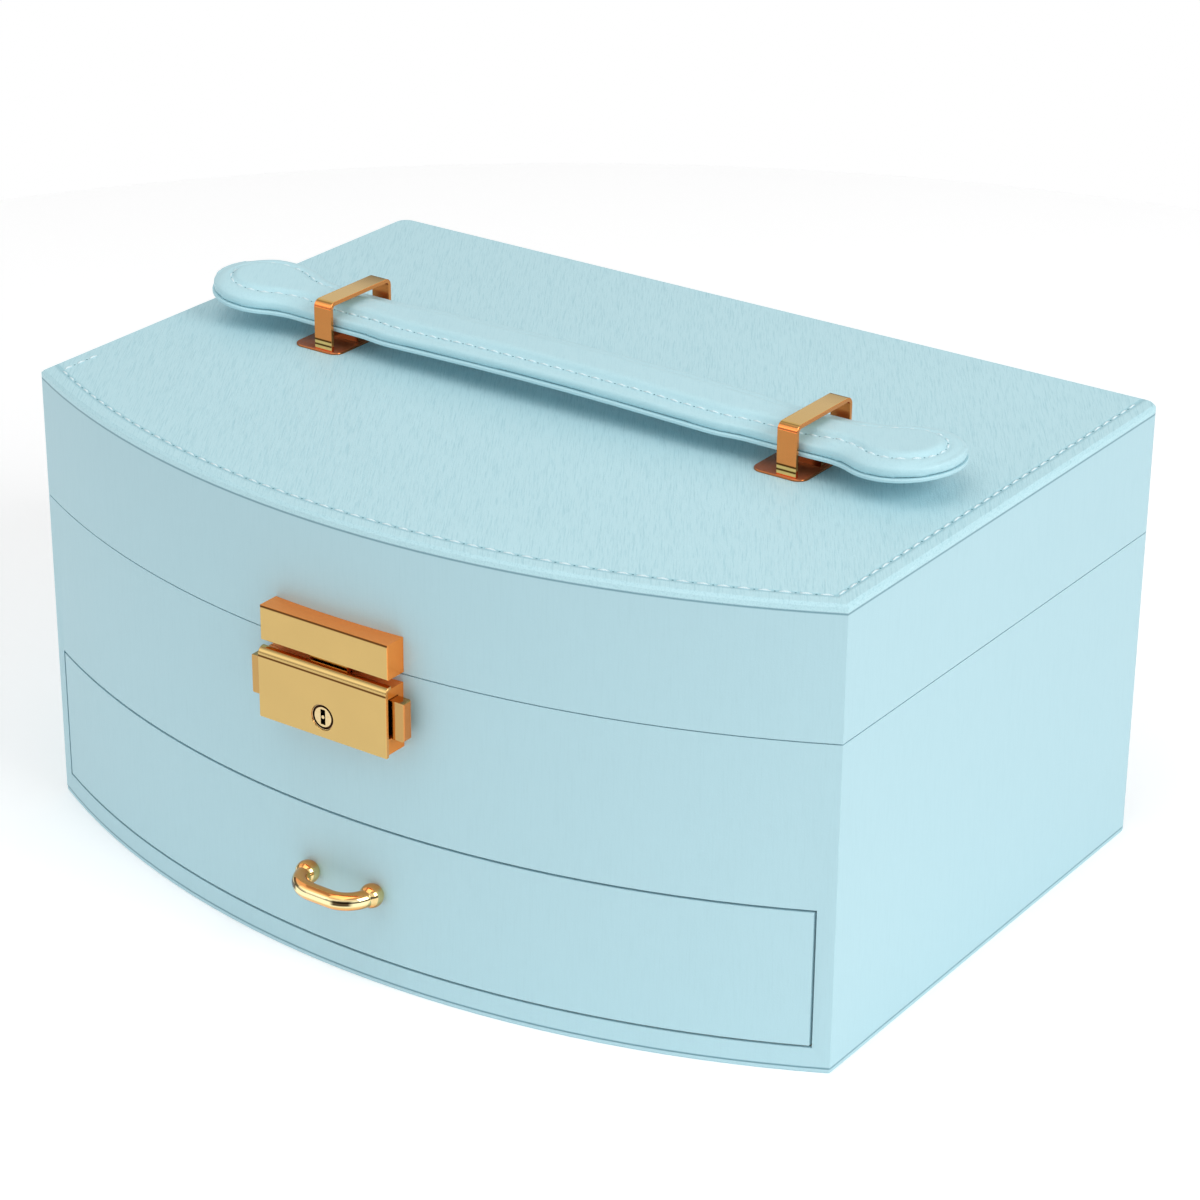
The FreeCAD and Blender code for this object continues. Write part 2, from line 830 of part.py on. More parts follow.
def make_pull():
    """Cast bow pull on two ball feet, held by two screws from inside."""
    spread = size.pull_spacing / 2
    foot_y = bow_y(spread, as_dim(0)) - size.pull_ball_lift
    front_y = foot_y - size.pull_reach
    bend = size.pull_reach
    straight = spread - bend
    grip = doc.addObject("Part::Cylinder", "pull_grip")
    grip.Placement = FreeCAD.Placement(Vector(0, 0, 0), FreeCAD.Rotation(Vector(0, 1, 0), 90))
    bind(grip, "Radius", size.pull_rod_radius)
    bind(grip, "Height", straight * 2)
    place_base(grip, -straight, front_y, size.pull_height)
    pieces = [grip]
    for side, start in ((-1, 180), (1, 270)):
        elbow = doc.addObject("Part::Torus", "pull_elbow")
        elbow.Placement = FreeCAD.Placement(Vector(0, 0, 0), FreeCAD.Rotation(Vector(0, 0, 1), start))
        elbow.Angle3 = 90
        bind(elbow, "Radius1", bend)
        bind(elbow, "Radius2", size.pull_rod_radius)
        place_base(elbow, straight * side, foot_y, size.pull_height)
        pieces.append(elbow)
    for x, z in pull_places():
        ball = doc.addObject("Part::Sphere", "pull_ball")
        bind(ball, "Radius", size.pull_ball_radius)
        place_base(ball, x, foot_y, z)
        pieces.append(ball)
    whole = doc.addObject("Part::MultiFuse", "pull_blank")
    whole.Shapes = pieces
    tools = [front_cylinder("pull_seat", as_dim(0), drawer_front_low, drawer_front_high - drawer_front_low)]
    tip_y = foot_y - size.pull_screw_grip + size.pull_ball_lift
    head_y = bow_y(spread + size.screw_head_radius, wall_thick)
    for x, z in pull_places():
        tools.append(rod("pull_bore", x, head_y, z, size.pull_screw_radius, head_y - tip_y))
    cutter = doc.addObject("Part::MultiFuse", "pull_cutter")
    cutter.Shapes = tools
    pull = doc.addObject("Part::Cut", "drawer_pull")
    pull.Base = whole
    pull.Tool = cutter
    keep(pull)
    make_pull_screws(tip_y, head_y)


def place_base(thing, x, y, z):
    """Tie the position of a Part primitive to the sheet."""
    for path, value in (("x", x), ("y", y), ("z", z)):
        thing.setExpression(f"Placement.Base.{path}", as_dim(value).text)


def rod(label, x, y, z, radius, length):
    """A round bar that runs from y towards the front."""
    bar = doc.addObject("Part::Cylinder", label)
    bar.Placement = FreeCAD.Placement(Vector(0, 0, 0), FreeCAD.Rotation(Vector(1, 0, 0), 90))
    bind(bar, "Radius", as_dim(radius))
    bind(bar, "Height", as_dim(length))
    place_base(bar, x, y, z)
    return bar


def front_cylinder(label, inset, low, height):
    """A drum whose face is the bowed front, inset from the leather."""
    drum = doc.addObject("Part::Cylinder", label)
    bind(drum, "Radius", bow_radius - inset)
    bind(drum, "Height", height)
    place_base(drum, as_dim(0), bow_centre_y, low)
    return drum


def make_pull_screws(tip_y, head_y):
    """The two screws of the pull, with flat heads behind the front board."""
    screws = []
    for x, z in pull_places():
        shank = rod("pull_shank", x, head_y, z, size.pull_screw_radius, head_y - tip_y)
        head_back = head_y + size.screw_head_thick
        head = rod("pull_head", x, head_back, z, size.screw_head_radius, size.screw_head_thick)
        screw = doc.addObject("Part::MultiFuse", "pull_screw")
        screw.Shapes = [shank, head]
        screws.append(screw)
    keep(group("drawer_pull_screws", screws))


axis_y = back_y + size.knuckle_stand_off + size.knuckle_radius
axis_z = size.seam_height + size.seam_gap / 2


def make_hinges():
    """Two butt hinges on the back: case leaves, lid leaves, pins and screws."""
    third = (size.hinge_length - size.knuckle_gap * 2) / 3
    case_leaves, lid_leaves, pins = [], [], []
    for side in (-1, 1):
        left = size.hinge_spacing / 2 * side - size.hinge_length / 2
        second = left + third + size.knuckle_gap
        last = second + third + size.knuckle_gap
        case_leaves.append(hinge_leaf("hinge_case_leaf", -1, left, [left, last], third, 0))
        play = size.hinge_pin_clearance
        lid_leaves.append(hinge_leaf("hinge_lid_leaf", 1, left, [second], third, play))
        pin = new_body("hinge_pin")
        pad(pin, "YZ_Plane", left, size.hinge_length, circles=[(axis_y, axis_z, size.hinge_pin_radius)])
        pins.append(pin)
    keep(group("hinge_case_leaves", case_leaves))
    keep(group("hinge_lid_leaves", lid_leaves))
    keep(group("hinge_pins", pins))
    keep(group("hinge_case_screws", hinge_screws(False)))
    keep(group("hinge_lid_screws", hinge_screws(True)))


def hinge_leaf(label, way, left, knuckles, length, play):
    """One leaf: a plate flat on the back, with rolled knuckles at the seam.
    The plate goes up from the seam for the lid and down for the case."""
    leaf = new_body(label)
    outer_y = back_y + size.hinge_leaf_thick
    tip = axis_z + size.hinge_leaf_height * way
    relief = axis_z + (size.knuckle_radius + size.knuckle_gap) * way
    low, high = (tip, relief) if way < 0 else (relief, tip)
    pad(leaf, "YZ_Plane", left, size.hinge_length, [rectangle(back_y, outer_y, low, high)])
    for start in knuckles:
        low, high = (relief, axis_z) if way < 0 else (axis_z, relief)
        pad(leaf, "YZ_Plane", start, length, [rectangle(back_y, outer_y, low, high)])
        pad(leaf, "YZ_Plane", start, length, circles=[(axis_y, axis_z, size.knuckle_radius)])
    bore = size.hinge_pin_radius + play
    pocket(leaf, "YZ_Plane", left + size.hinge_length, size.hinge_length, circles=[(axis_y, axis_z, bore)])
    middle = left + size.hinge_length / 2
    rise = axis_z + size.hinge_screw_rise * way
    holes = []
    for end in (-1, 1):
        x = middle + size.hinge_screw_spread / 2 * end
        holes.append((x, rise, size.hinge_screw_radius))
    pocket(leaf, "XZ_Plane", -outer_y, size.hinge_leaf_thick, circles=holes, forward=True)
    return leaf


def hinge_screws(upper):
    """Four small screws of the case leaves or of the lid leaves."""
    screws = []
    outer_y = back_y + size.hinge_leaf_thick
    for x, z in hinge_screw_places(upper):
        length = size.hinge_screw_length + size.hinge_leaf_thick
        shank = rod("hinge_shank", x, outer_y, z, size.hinge_screw_radius, length)
        head_back = outer_y + size.hinge_head_thick
        head = rod("hinge_head", x, head_back, z, size.hinge_head_radius, size.hinge_head_thick)
        screw = doc.addObject("Part::MultiFuse", "hinge_screw")
        screw.Shapes = [shank, head]
        screws.append(screw)
    return screws


def rounded_rectangle(width, height, corner, middle_y):
    """A rectangle in plan with round corners, centred in X."""
    x, low, high = width / 2, middle_y - height / 2, middle_y + height / 2
    return [
        (-x + corner, low),
        (x - corner, low, corner, 1),
        (x, low + corner),
        (x, high - corner, corner, 1),
        (x - corner, high),
        (-x + corner, high, corner, 1),
        (-x, high - corner),
        (-x, low + corner, corner, 1),
    ]


def make_mirror():
    """Mirror glass held to the lid's ceiling by a rebated frame."""
    ceiling = lid_ceiling - size.lining_thick
    glass_room = size.mirror_thick + size.mirror_play
    frame = new_body("mirror_frame")
    width = size.mirror_width + size.mirror_rim * 2
    height = size.mirror_height + size.mirror_rim * 2
    outer = rounded_rectangle(width, height, size.mirror_corner, size.mirror_y)
    lip = size.mirror_lip * 2
    window = centred(size.mirror_width - lip, *window_span(size.mirror_height - lip))
    thick = glass_room + size.mirror_lip_thick
    pad(frame, "XY_Plane", ceiling - thick, thick, [outer, window])
    play = size.mirror_play
    rebate = centred(size.mirror_width + play, *window_span(size.mirror_height + play))
    pocket(frame, "XY_Plane", ceiling, glass_room, [rebate])
    keep(frame)
    glass_low = ceiling - glass_room + size.mirror_play / 2
    span = window_span(size.mirror_height)
    width, height = size.mirror_width, size.mirror_height
    keep(box("mirror_glass", -width / 2, span[0], glass_low, width, height, size.mirror_thick))


def window_span(height):
    """Lowest and highest Y of something that is centred on the mirror."""
    return size.mirror_y - height / 2, size.mirror_y + height / 2


def seat_outline(width, front):
    """Outline in plan of a block that sits on the bowed leather."""
    side = width / 2
    surface = bow_y(side, as_dim(0))
    return [(-side, front), (side, front), (side, surface, bow_radius, -1), (-side, surface)]


def make_lock_case():
    """Cast lock body: open towards the front plate, slotted for the buttons
    and the tongue, with four studs through the leather and the board."""
    body = new_body("lock_case")
    height = lock_case_high - lock_case_low
    pad(body, "XY_Plane", lock_case_low, height, [seat_outline(size.lock_case_width, lock_front)])
    top, face = lock_case_high.number, lock_front.number
    under_roll = size.lock_plate_roll - size.lock_plate_thick
    fillet(body, under_roll, lambda edge: all(abs(v.Z - top) + abs(v.Y - face) < 1e-4 for v in edge.Vertexes))
    wall = size.lock_wall
    room = centred(size.lock_case_width - wall * 2, lock_case_low + wall, lock_case_high - wall)
    pocket(body, "XZ_Plane", -lock_front, size.lock_case_depth - wall, [room])
    clear = size.button_clearance
    slot_back = lock_front + size.button_set_back + size.button_depth + clear
    slot = rectangle(lock_front, slot_back, button_low - clear, button_high + clear)
    pocket(body, "YZ_Plane", size.lock_case_width / 2, size.lock_case_width, [slot])
    gap = size.tongue_clearance
    tongue_back = lock_front + size.tongue_front + size.tongue_thick
    mouth = centred(size.tongue_width + gap * 2, lock_front + size.lock_plate_lip, tongue_back + gap / 2)
    pocket(body, "XY_Plane", lock_case_high, wall, [mouth])
    circles = [(x, z, size.lock_stud_radius) for x, z in lock_stud_places()]
    inner_wall = lock_front + size.lock_case_depth - wall
    pad(body, "XZ_Plane", -stud_end, stud_end - inner_wall, circles=circles)
    low = size.spring_height - size.spring_post_height / 2
    near, far = size.spring_post_x, size.spring_post_x + size.spring_post_thick
    high = low + size.spring_post_height
    posts = [rectangle(left, right, low, high) for left, right in ((-far, -near), (near, far))]
    pad(body, "XZ_Plane", -inner_wall, size.button_depth, posts)
    keep(body)


def make_lock_plate():
    """Front plate of the lock: thin sheet, rolled back over the top."""
    plate = new_body("lock_plate")
    thick, roll = size.lock_plate_thick, size.lock_plate_roll
    face = lock_front - thick
    top = size.lock_plate_top
    low = top - size.lock_plate_height
    lip_y = lock_front + size.lock_plate_lip
    outline = [
        (face, low),
        (lock_front, low),
        (lock_front, top - roll, roll - thick, -1),
        (face + roll, top - thick),
        (lip_y, top - thick),
        (lip_y, top),
        (face + roll, top, roll, 1),
        (face, top - roll),
    ]
    half = size.lock_plate_width / 2
    pad(plate, "YZ_Plane", -half, size.lock_plate_width, [outline])
    hole = size.cylinder_flange_radius + size.cylinder_clearance
    pocket(plate, "XZ_Plane", -face, thick, circles=[(0, size.cylinder_height, hole)])
    keep(plate)


def make_lock_cylinder():
    """Key cylinder: flange with a turned ring in its face, an upright keyway
    round a centre post, and the cam behind."""
    body = new_body("lock_cylinder")
    height = size.cylinder_height
    face = lock_front - size.lock_plate_thick + size.cylinder_recess
    back = face + size.cylinder_length
    pad(body, "XZ_Plane", -back, size.cylinder_length, circles=[(0, height, size.cylinder_radius)])
    flange, thick = size.cylinder_flange_radius, size.cylinder_flange_length
    pad(body, "XZ_Plane", -(face + thick), thick, circles=[(0, height, flange)])
    outer = flange - size.cylinder_rim
    ring = [(0, height, outer), (0, height, outer - size.cylinder_ring_width)]
    pocket(body, "XZ_Plane", -face, size.cylinder_ring_depth, circles=ring)
    half = size.keyway_height / 2
    slot = centred(size.keyway_width, height - half, height + half)
    pocket(body, "XZ_Plane", -face, size.keyway_depth, [slot])
    post_back = face + size.keyway_depth
    post = [(0, height, size.key_post_radius)]
    pad(body, "XZ_Plane", -post_back, size.keyway_depth, circles=post)
    cam = centred(size.cam_width, height - size.cam_reach, height)
    pad(body, "XZ_Plane", -(back + size.cam_thick), size.cam_thick, [cam])
    keep(body)


def make_buttons():
    """Two push buttons. Each carries a bar that crosses behind the tongue to a
    hook on the far side, so pressing it in moves the hook off the tongue."""
    for side, name, bar_low in (
        (-1, "left", size.upper_hook_height),
        (1, "right", size.lower_hook_height),
    ):
        body = new_body(f"lock_button_{name}")
        outer = size.lock_case_width / 2 + size.button_proud
        inner = outer - size.button_block_length
        front = lock_front + size.button_set_back
        rear = front + size.button_depth
        left, right = (inner, outer) if side > 0 else (-outer, -inner)
        pad(body, "XY_Plane", button_low, size.button_height, [rectangle(left, right, front, rear)])
        face = outer.number * side
        fillet(body, size.button_round, lambda edge: all(abs(v.X - face) < 1e-4 for v in edge.Vertexes))
        hook_x = size.tongue_width / 2 + size.hook_clearance
        hook_end = hook_x + size.hook_length
        bar_back = lock_front + size.lock_case_depth - size.lock_wall - size.button_clearance
        bar_front = bar_back - size.hook_bar_thick
        low, high = (-hook_end, inner) if side > 0 else (-inner, hook_end)
        low_root, high_root = (low, high + 1) if side > 0 else (low - 1, high)
        bar = rectangle(low_root, high_root, bar_front, bar_back)
        pad(body, "XY_Plane", bar_low, size.hook_bar_height, [bar])
        nose_front = lock_front + size.tongue_front
        nose_left, nose_right = (-hook_end, -hook_x) if side > 0 else (hook_x, hook_end)
        nose = rectangle(nose_left, nose_right, nose_front, bar_back)
        pad(body, "XY_Plane", bar_low, size.hook_bar_height, [nose])
        keep(body)


def make_springs():
    """Return springs of the buttons: a few turns of wire on each inner face."""
    outer = size.lock_case_width / 2 + size.button_proud
    inner = outer - size.button_block_length
    wire = size.spring_wire.number
    radius = size.spring_radius.number
    length = size.spring_length.number - wire
    pitch = length / size.spring_turns.number
    middle_y = lock_front + size.button_set_back + size.button_depth / 2
    for side, name in ((-1, "left"), (1, "right")):
        helix = Part.makeHelix(pitch, length, radius)
        half = wire / 2
        corners = [
            Vector(radius - half, 0, -half),
            Vector(radius + half, 0, -half),
            Vector(radius + half, 0, half),
            Vector(radius - half, 0, half),
            Vector(radius - half, 0, -half),
        ]
        coil = Part.Wire(helix).makePipeShell([Part.makePolygon(corners)], True, True)
        spring = doc.addObject("Part::Feature", f"lock_spring_{name}")
        spring.Shape = coil
        start = inner.number - wire / 2
        turn = FreeCAD.Rotation(Vector(0, 1, 0), -90 * side)
        place = Vector(start * side, middle_y.number, size.spring_height.number)
        spring.Placement = FreeCAD.Placement(place, turn)
        keep(spring)


def make_strike():
    """Strike block on the lid, its tongue and its two studs."""
    body = new_body("lock_strike")
    low = lid_bottom + size.strike_rise
    front = apex_y - size.strike_depth
    pad(body, "XY_Plane", low, size.strike_height, [seat_outline(size.strike_width, front)])
    face = front.number
    fillet(body, size.strike_edge, lambda edge: all(abs(v.Y - face) < 1e-4 for v in edge.Vertexes))
    tongue_y = lock_front + size.tongue_front
    seat = centred(size.tongue_width, tongue_y, tongue_y + size.tongue_thick)
    pocket(body, "XY_Plane", low, size.tongue_seat, [seat], forward=True)
    circles = [(x, z, size.lock_stud_radius) for x, z in strike_stud_places()]
    pad(body, "XZ_Plane", -stud_end, stud_end - apex_y + size.wrap_thick, circles=circles)
    keep(body)
    tongue = new_body("lock_tongue")
    half, lead = size.tongue_width / 2, size.tongue_lead
    bottom, top = size.tongue_bottom, low + size.tongue_seat
    outline = [
        (-half + lead, bottom),
        (half - lead, bottom),
        (half, bottom + lead),
        (half, top),
        (-half, top),
        (-half, bottom + lead),
    ]
    pad(tongue, "XZ_Plane", -(tongue_y + size.tongue_thick), size.tongue_thick, [outline])
    keep(tongue)


def make_staples():
    """Flat-bar staples that hold the strap. The legs of each go through a
    rounded plate, whose saddle carries the strap."""
    half = size.staple_span / 2
    outer_low, outer_high = size.handle_centre_y - half, size.handle_centre_y + half
    thick, bend = size.staple_thick, size.staple_bend
    top = size.total_height + size.staple_height
    outline = [
        (outer_low, lid_ceiling),
        (outer_low + thick, lid_ceiling),
        (outer_low + thick, top - bend, bend - thick, -1),
        (outer_low + bend, top - thick),
        (outer_high - bend, top - thick, bend - thick, -1),
        (outer_high - thick, top - bend),
        (outer_high - thick, lid_ceiling),
        (outer_high, lid_ceiling),
        (outer_high, top - bend, bend, 1),
        (outer_high - bend, top),
        (outer_low + bend, top, bend, 1),
        (outer_low, top - bend),
    ]
    for side, name in ((-1, "left"), (1, "right")):
        middle = size.staple_spacing / 2 * side
        staple = new_body(f"staple_{name}")
        pad(staple, "YZ_Plane", middle - size.staple_width / 2, size.staple_width, [outline])
        keep(staple)
        plate = new_body(f"staple_plate_{name}")
        length = size.staple_span + size.staple_plate_margin * 2
        corner = size.staple_plate_corner
        loop = rounded_rectangle(size.staple_plate_width, length, corner, size.handle_centre_y)
        loop = moved(loop, middle + size.staple_plate_shift)
        pad(plate, "XY_Plane", size.total_height, size.staple_plate_thick, [loop])
        rim = size.total_height + size.staple_plate_thick
        chamfer(plate, size.staple_plate_chamfer, at_height(rim))
        pocket(plate, "XY_Plane", rim, size.staple_plate_thick, staple_slots((side,)))
        reach = size.saddle_length / 2
        saddle = centred(size.saddle_width, size.handle_centre_y - reach, size.handle_centre_y + reach)
        pad(plate, "XY_Plane", rim, size.saddle_height, [moved(saddle, middle)])
        chamfer(plate, size.saddle_chamfer, at_height(rim + size.saddle_height))
        keep(plate)


def moved(loop, x):
    """The loop moved sideways by x."""
    return [(corner[0] + x,) + tuple(corner[1:]) for corner in loop]


def s_curve(run, rise):
    """Radius of two equal arcs that join two parallel lines, run apart along
    them and rise apart across them."""
    return (run * run + rise * rise) / (rise * 4)


def strap_plan(grow):
    """Outline of the strap in plan, made wider all round by grow."""
    middle = size.handle_centre_y
    paddle = size.strap_paddle_half + grow
    neck = size.strap_neck_half + grow
    grip = size.strap_grip_half + grow
    paddle_x = size.strap_tip_x - size.strap_paddle_half
    shoulder_x, neck_x, grip_x = size.strap_shoulder_x, size.strap_neck_x, size.strap_grip_x
    flare = s_curve(paddle_x - shoulder_x, size.strap_paddle_half - size.strap_neck_half)
    swell = s_curve(neck_x - grip_x, size.strap_grip_half - size.strap_neck_half)
    flare_x, flare_y = (paddle_x + shoulder_x) / 2, (paddle + neck) / 2
    swell_x, swell_y = (neck_x + grip_x) / 2, (neck + grip) / 2
    return [
        (-grip_x, middle - grip),
        (grip_x, middle - grip, swell, 1),
        (swell_x, middle - swell_y, swell, -1),
        (neck_x, middle - neck),
        (shoulder_x, middle - neck, flare, -1),
        (flare_x, middle - flare_y, flare, 1),
        (paddle_x, middle - paddle, paddle, 1),
        (paddle_x + paddle, middle, paddle, 1),
        (paddle_x, middle + paddle, flare, 1),
        (flare_x, middle + flare_y, flare, -1),
        (shoulder_x, middle + neck),
        (neck_x, middle + neck, swell, -1),
        (swell_x, middle + swell_y, swell, 1),
        (grip_x, middle + grip),
        (-grip_x, middle + grip, swell, 1),
        (-swell_x, middle + swell_y, swell, -1),
        (-neck_x, middle + neck),
        (-shoulder_x, middle + neck, flare, -1),
        (-flare_x, middle + flare_y, flare, 1),
        (-paddle_x, middle + paddle, paddle, 1),
        (-paddle_x - paddle, middle, paddle, 1),
        (-paddle_x, middle - paddle, flare, 1),
        (-flare_x, middle - flare_y, flare, -1),
        (-shoulder_x, middle - neck),
        (-neck_x, middle - neck, swell, -1),
        (-swell_x, middle - swell_y, swell, 1),
    ]


def strap_side(low, thick, reach):
    """Side view of the strap: raised in the middle, low in the staples and
    rising again towards the tips. It runs out to reach on both sides."""
    neck = size.staple_spacing / 2
    arch, rise = size.strap_arch, size.strap_tip_rise
    wave = s_curve(neck, arch)
    tip_run = reach - neck
    tip = (tip_run * tip_run + rise * rise) / (rise * 2)
    half, level = neck / 2, low + arch / 2
    high = low + thick
    return [
        (-reach, low + rise, tip, 1),
        (-neck, low, wave, 1),
        (-half, level, wave, -1),
        (half, level, wave, 1),
        (neck, low, tip, 1),
        (reach, low + rise),
        (reach, high + rise, tip, -1),
        (neck, high, wave, -1),
        (half, level + thick, wave, 1),
        (-half, level + thick, wave, -1),
        (-neck, high, tip, -1),
        (-reach, high + rise),
    ]


def strap_layer(label, low, thick, grow):
    """One layer of the strap: its side view, trimmed to its plan."""
    layer = new_body(label)
    reach = size.strap_tip_x + size.strap_backing_lip * 2
    half = size.strap_paddle_half + size.strap_backing_lip * 2
    front = size.handle_centre_y - half
    side = moved(strap_side(low, thick, reach), size.strap_shift)
    pad(layer, "XZ_Plane", -(size.handle_centre_y + half), half * 2, [side])
    ceiling = size.total_height + size.staple_height * 2
    border = rectangle(-reach * 1.1, reach * 1.1, front * 2, size.handle_centre_y + half * 2)
    plan = moved(strap_plan(grow), size.strap_shift)
    pocket(layer, "XY_Plane", ceiling, size.staple_height * 2, [border, plan])
    return layer


def make_strap():
    """Strap: thin backing with a narrow lip, flat stitched margin and a stuffed
    crown inside the stitching."""
    low = size.total_height + size.staple_plate_thick + size.saddle_height + size.strap_rest_gap
    keep(strap_layer("handle_backing", low, size.strap_backing_thick, size.strap_backing_lip))
    margin_low = low + size.strap_backing_thick
    margin = strap_layer("strap_margin", margin_low, size.strap_margin_thick, as_dim(0))
    crown_low = margin_low + size.strap_margin_thick / 2
    crown_thick = size.strap_margin_thick / 2 + size.strap_crown_thick
    crown = strap_layer("strap_crown", crown_low, crown_thick, -size.strap_crown_inset)
    between = (crown_low + (size.strap_tip_rise + crown_thick) / 2).number
    chamfer(crown, size.strap_crown_chamfer, lambda edge: edge.BoundBox.ZMin > between)
    padding = doc.addObject("Part::MultiFuse", "handle_pad")
    padding.Shapes = [margin, crown]
    keep(padding)


def make_everything():
    """Build every piece in the order in which the box is put together."""
    make_base()
    make_walls("case", size.base_thick, size.seam_height, False)
    make_walls("lid", lid_bottom, lid_ceiling, True)
    make_front_boards()
    make_deck()
    make_case_leather()
    make_lid_skin()
    make_linings()
    make_tray()
    make_mirror()
    make_drawer_box()
    make_drawer_inside()
    make_pull()
    make_hinges()
    make_lock_case()
    make_lock_plate()
    make_lock_cylinder()
    make_buttons()
    make_springs()
    make_strike()
    make_staples()
    make_strap()


def check_document():
    """Stop if any object failed, or if a piece has no valid solid."""
    doc.recompute()
    for item in doc.Objects:
        if "Invalid" in item.State or "Error" in item.State:
            raise RuntimeError(f"{item.Label} did not recompute: {item.State}")
    for label, node in nodes.items():
        shape = node.Shape
        if shape.isNull() or not shape.isValid() or not shape.Solids:
            raise RuntimeError(f"{label} has no valid solid")


def write_files():
    """Write each piece to its own file."""
    os.makedirs("parts", exist_ok=True)
    for label, node in nodes.items():
        node.Shape.exportStep(os.path.join("parts", f"{label}.step"))
        print(f"{label}: {len(node.Shape.Solids)} solid(s), {node.Shape.Volume:.1f} mm3")


make_everything()
check_document()
write_files()
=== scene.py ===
import math

import bmesh
import bpy
from mathutils import Matrix, Vector


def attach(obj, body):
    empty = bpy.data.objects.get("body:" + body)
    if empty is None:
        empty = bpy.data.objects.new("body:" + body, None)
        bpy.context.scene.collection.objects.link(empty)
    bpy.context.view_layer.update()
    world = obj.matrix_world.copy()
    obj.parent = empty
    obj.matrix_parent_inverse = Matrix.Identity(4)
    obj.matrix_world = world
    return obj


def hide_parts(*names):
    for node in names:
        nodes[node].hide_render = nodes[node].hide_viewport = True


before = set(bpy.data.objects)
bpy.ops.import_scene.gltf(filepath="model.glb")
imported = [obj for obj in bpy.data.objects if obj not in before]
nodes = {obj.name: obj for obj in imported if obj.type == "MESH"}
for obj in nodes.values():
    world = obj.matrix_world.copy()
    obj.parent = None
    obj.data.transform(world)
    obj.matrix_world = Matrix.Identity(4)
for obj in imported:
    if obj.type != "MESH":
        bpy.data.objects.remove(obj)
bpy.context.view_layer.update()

# Boards of the case, the lid and the drawer: fibreboard, cut and glued butt to
# butt. The walls carry blue covering paper, which shows at their rims and in the
# drawer bay. The other boards are raw.

MM = 0.001


class Wire:
    """A shader socket that can be used in plain arithmetic."""

    def __init__(self, tree, socket):
        self.tree = tree
        self.socket = socket

    def node(self, kind, settings=None, **sockets):
        """Add a node, set it up, feed its sockets and return its first live output."""
        made = self.tree.nodes.new(kind)
        for name, value in (settings or {}).items():
            setattr(made, name, value)
        for name, value in sockets.items():
            numbered = name[0] == "i" and name[1:].isdigit()
            target = made.inputs[int(name[1:]) if numbered else name.replace("_", " ")]
            if isinstance(value, Wire):
                self.tree.links.new(value.socket, target)
            else:
                target.default_value = value
        output = [out for out in made.outputs if out.enabled][0]
        return Wire(self.tree, output)

    def out(self, name):
        """Another output of the node this socket belongs to."""
        return Wire(self.tree, self.socket.node.outputs[name])

    def maths(self, operation, first, second=0.0, third=0.0):
        return self.node("ShaderNodeMath", {"operation": operation}, i0=first, i1=second, i2=third)

    def __add__(self, other):
        return self.maths("ADD", self, other)

    def __radd__(self, other):
        return self.maths("ADD", other, self)

    def __sub__(self, other):
        return self.maths("SUBTRACT", self, other)

    def __rsub__(self, other):
        return self.maths("SUBTRACT", other, self)

    def __mul__(self, other):
        return self.maths("MULTIPLY", self, other)

    def __rmul__(self, other):
        return self.maths("MULTIPLY", other, self)

    def __pow__(self, other):
        return self.maths("POWER", self, other)

    def absolute(self):
        return self.maths("ABSOLUTE", self)

    def lesser(self, other):
        return self.maths("MINIMUM", self, other)

    def axes(self):
        """The three parts of this vector."""
        split = self.node("ShaderNodeSeparateXYZ", None, Vector=self)
        return split.out("X"), split.out("Y"), split.out("Z")

    def step(self, low, high):
        """Smooth step from 0 at low to 1 at high."""
        settings = {"interpolation_type": "SMOOTHSTEP"}
        return self.node("ShaderNodeMapRange", settings, Value=self, From_Min=low, From_Max=high)

    def mix(self, first, second):
        """Blend two colours by this value."""
        settings = {"data_type": "RGBA"}
        return self.node("ShaderNodeMix", settings, i0=self, i6=first, i7=second).out("Result")

    def noise(self, scale, detail=2.0, rough=0.5, stretch=(1.0, 1.0, 1.0), turn=(0.0, 0.0, 0.0)):
        """Noise over this vector, stretched and turned first."""
        placed = self.node("ShaderNodeMapping", None, Vector=self, Scale=stretch, Rotation=turn)
        grain = {"Scale": scale, "Detail": detail, "Roughness": rough}
        return self.node("ShaderNodeTexNoise", None, Vector=placed, **grain)


def rgb(text):
    """Linear colour, with alpha, from an sRGB hex text."""
    parts = [int(text[i:i + 2], 16) / 255 for i in (0, 2, 4)]
    return tuple(p / 12.92 if p <= 0.04045 else ((p + 0.055) / 1.055) ** 2.4 for p in parts) + (1.0,)


def material(name, **constants):
    """A new material: its shader node and the object coordinates as a Wire."""
    made = bpy.data.materials.new(name)
    made.use_nodes = True
    tree = made.node_tree
    shader = tree.nodes["Principled BSDF"]
    for socket, value in constants.items():
        shader.inputs[socket.replace("_", " ")].default_value = value
    made.diffuse_color = constants.get("Base_Color", (0.8, 0.8, 0.8, 1.0))
    coordinates = tree.nodes.new("ShaderNodeTexCoord")
    return made, shader, Wire(tree, coordinates.outputs["Object"])


def feed(shader, **wires):
    """Link values to the shader's sockets."""
    for name, wire in wires.items():
        wire.tree.links.new(wire.socket, shader.inputs[name.replace("_", " ")])


def bump(height, strength, distance):
    """Bumped normal from a height value; distance is in metres."""
    return height.node("ShaderNodeBump", None, Strength=strength, Distance=distance, Height=height)


def fibreboard():
    made, shader, place = material("fibreboard", Base_Color=rgb("B59470"), Roughness=0.78)
    flecks = place.noise(900.0, 4.0, 0.6)
    clouds = place.noise(60.0, 3.0, 0.5)
    pale = flecks.step(0.35, 0.68).mix(rgb("A5835F"), rgb("C4A67F"))
    tone = clouds.step(0.3, 0.7).mix(pale, rgb("B7966F"))
    feed(shader, Base_Color=tone, Normal=bump(flecks, 0.4, 0.0001))
    return made


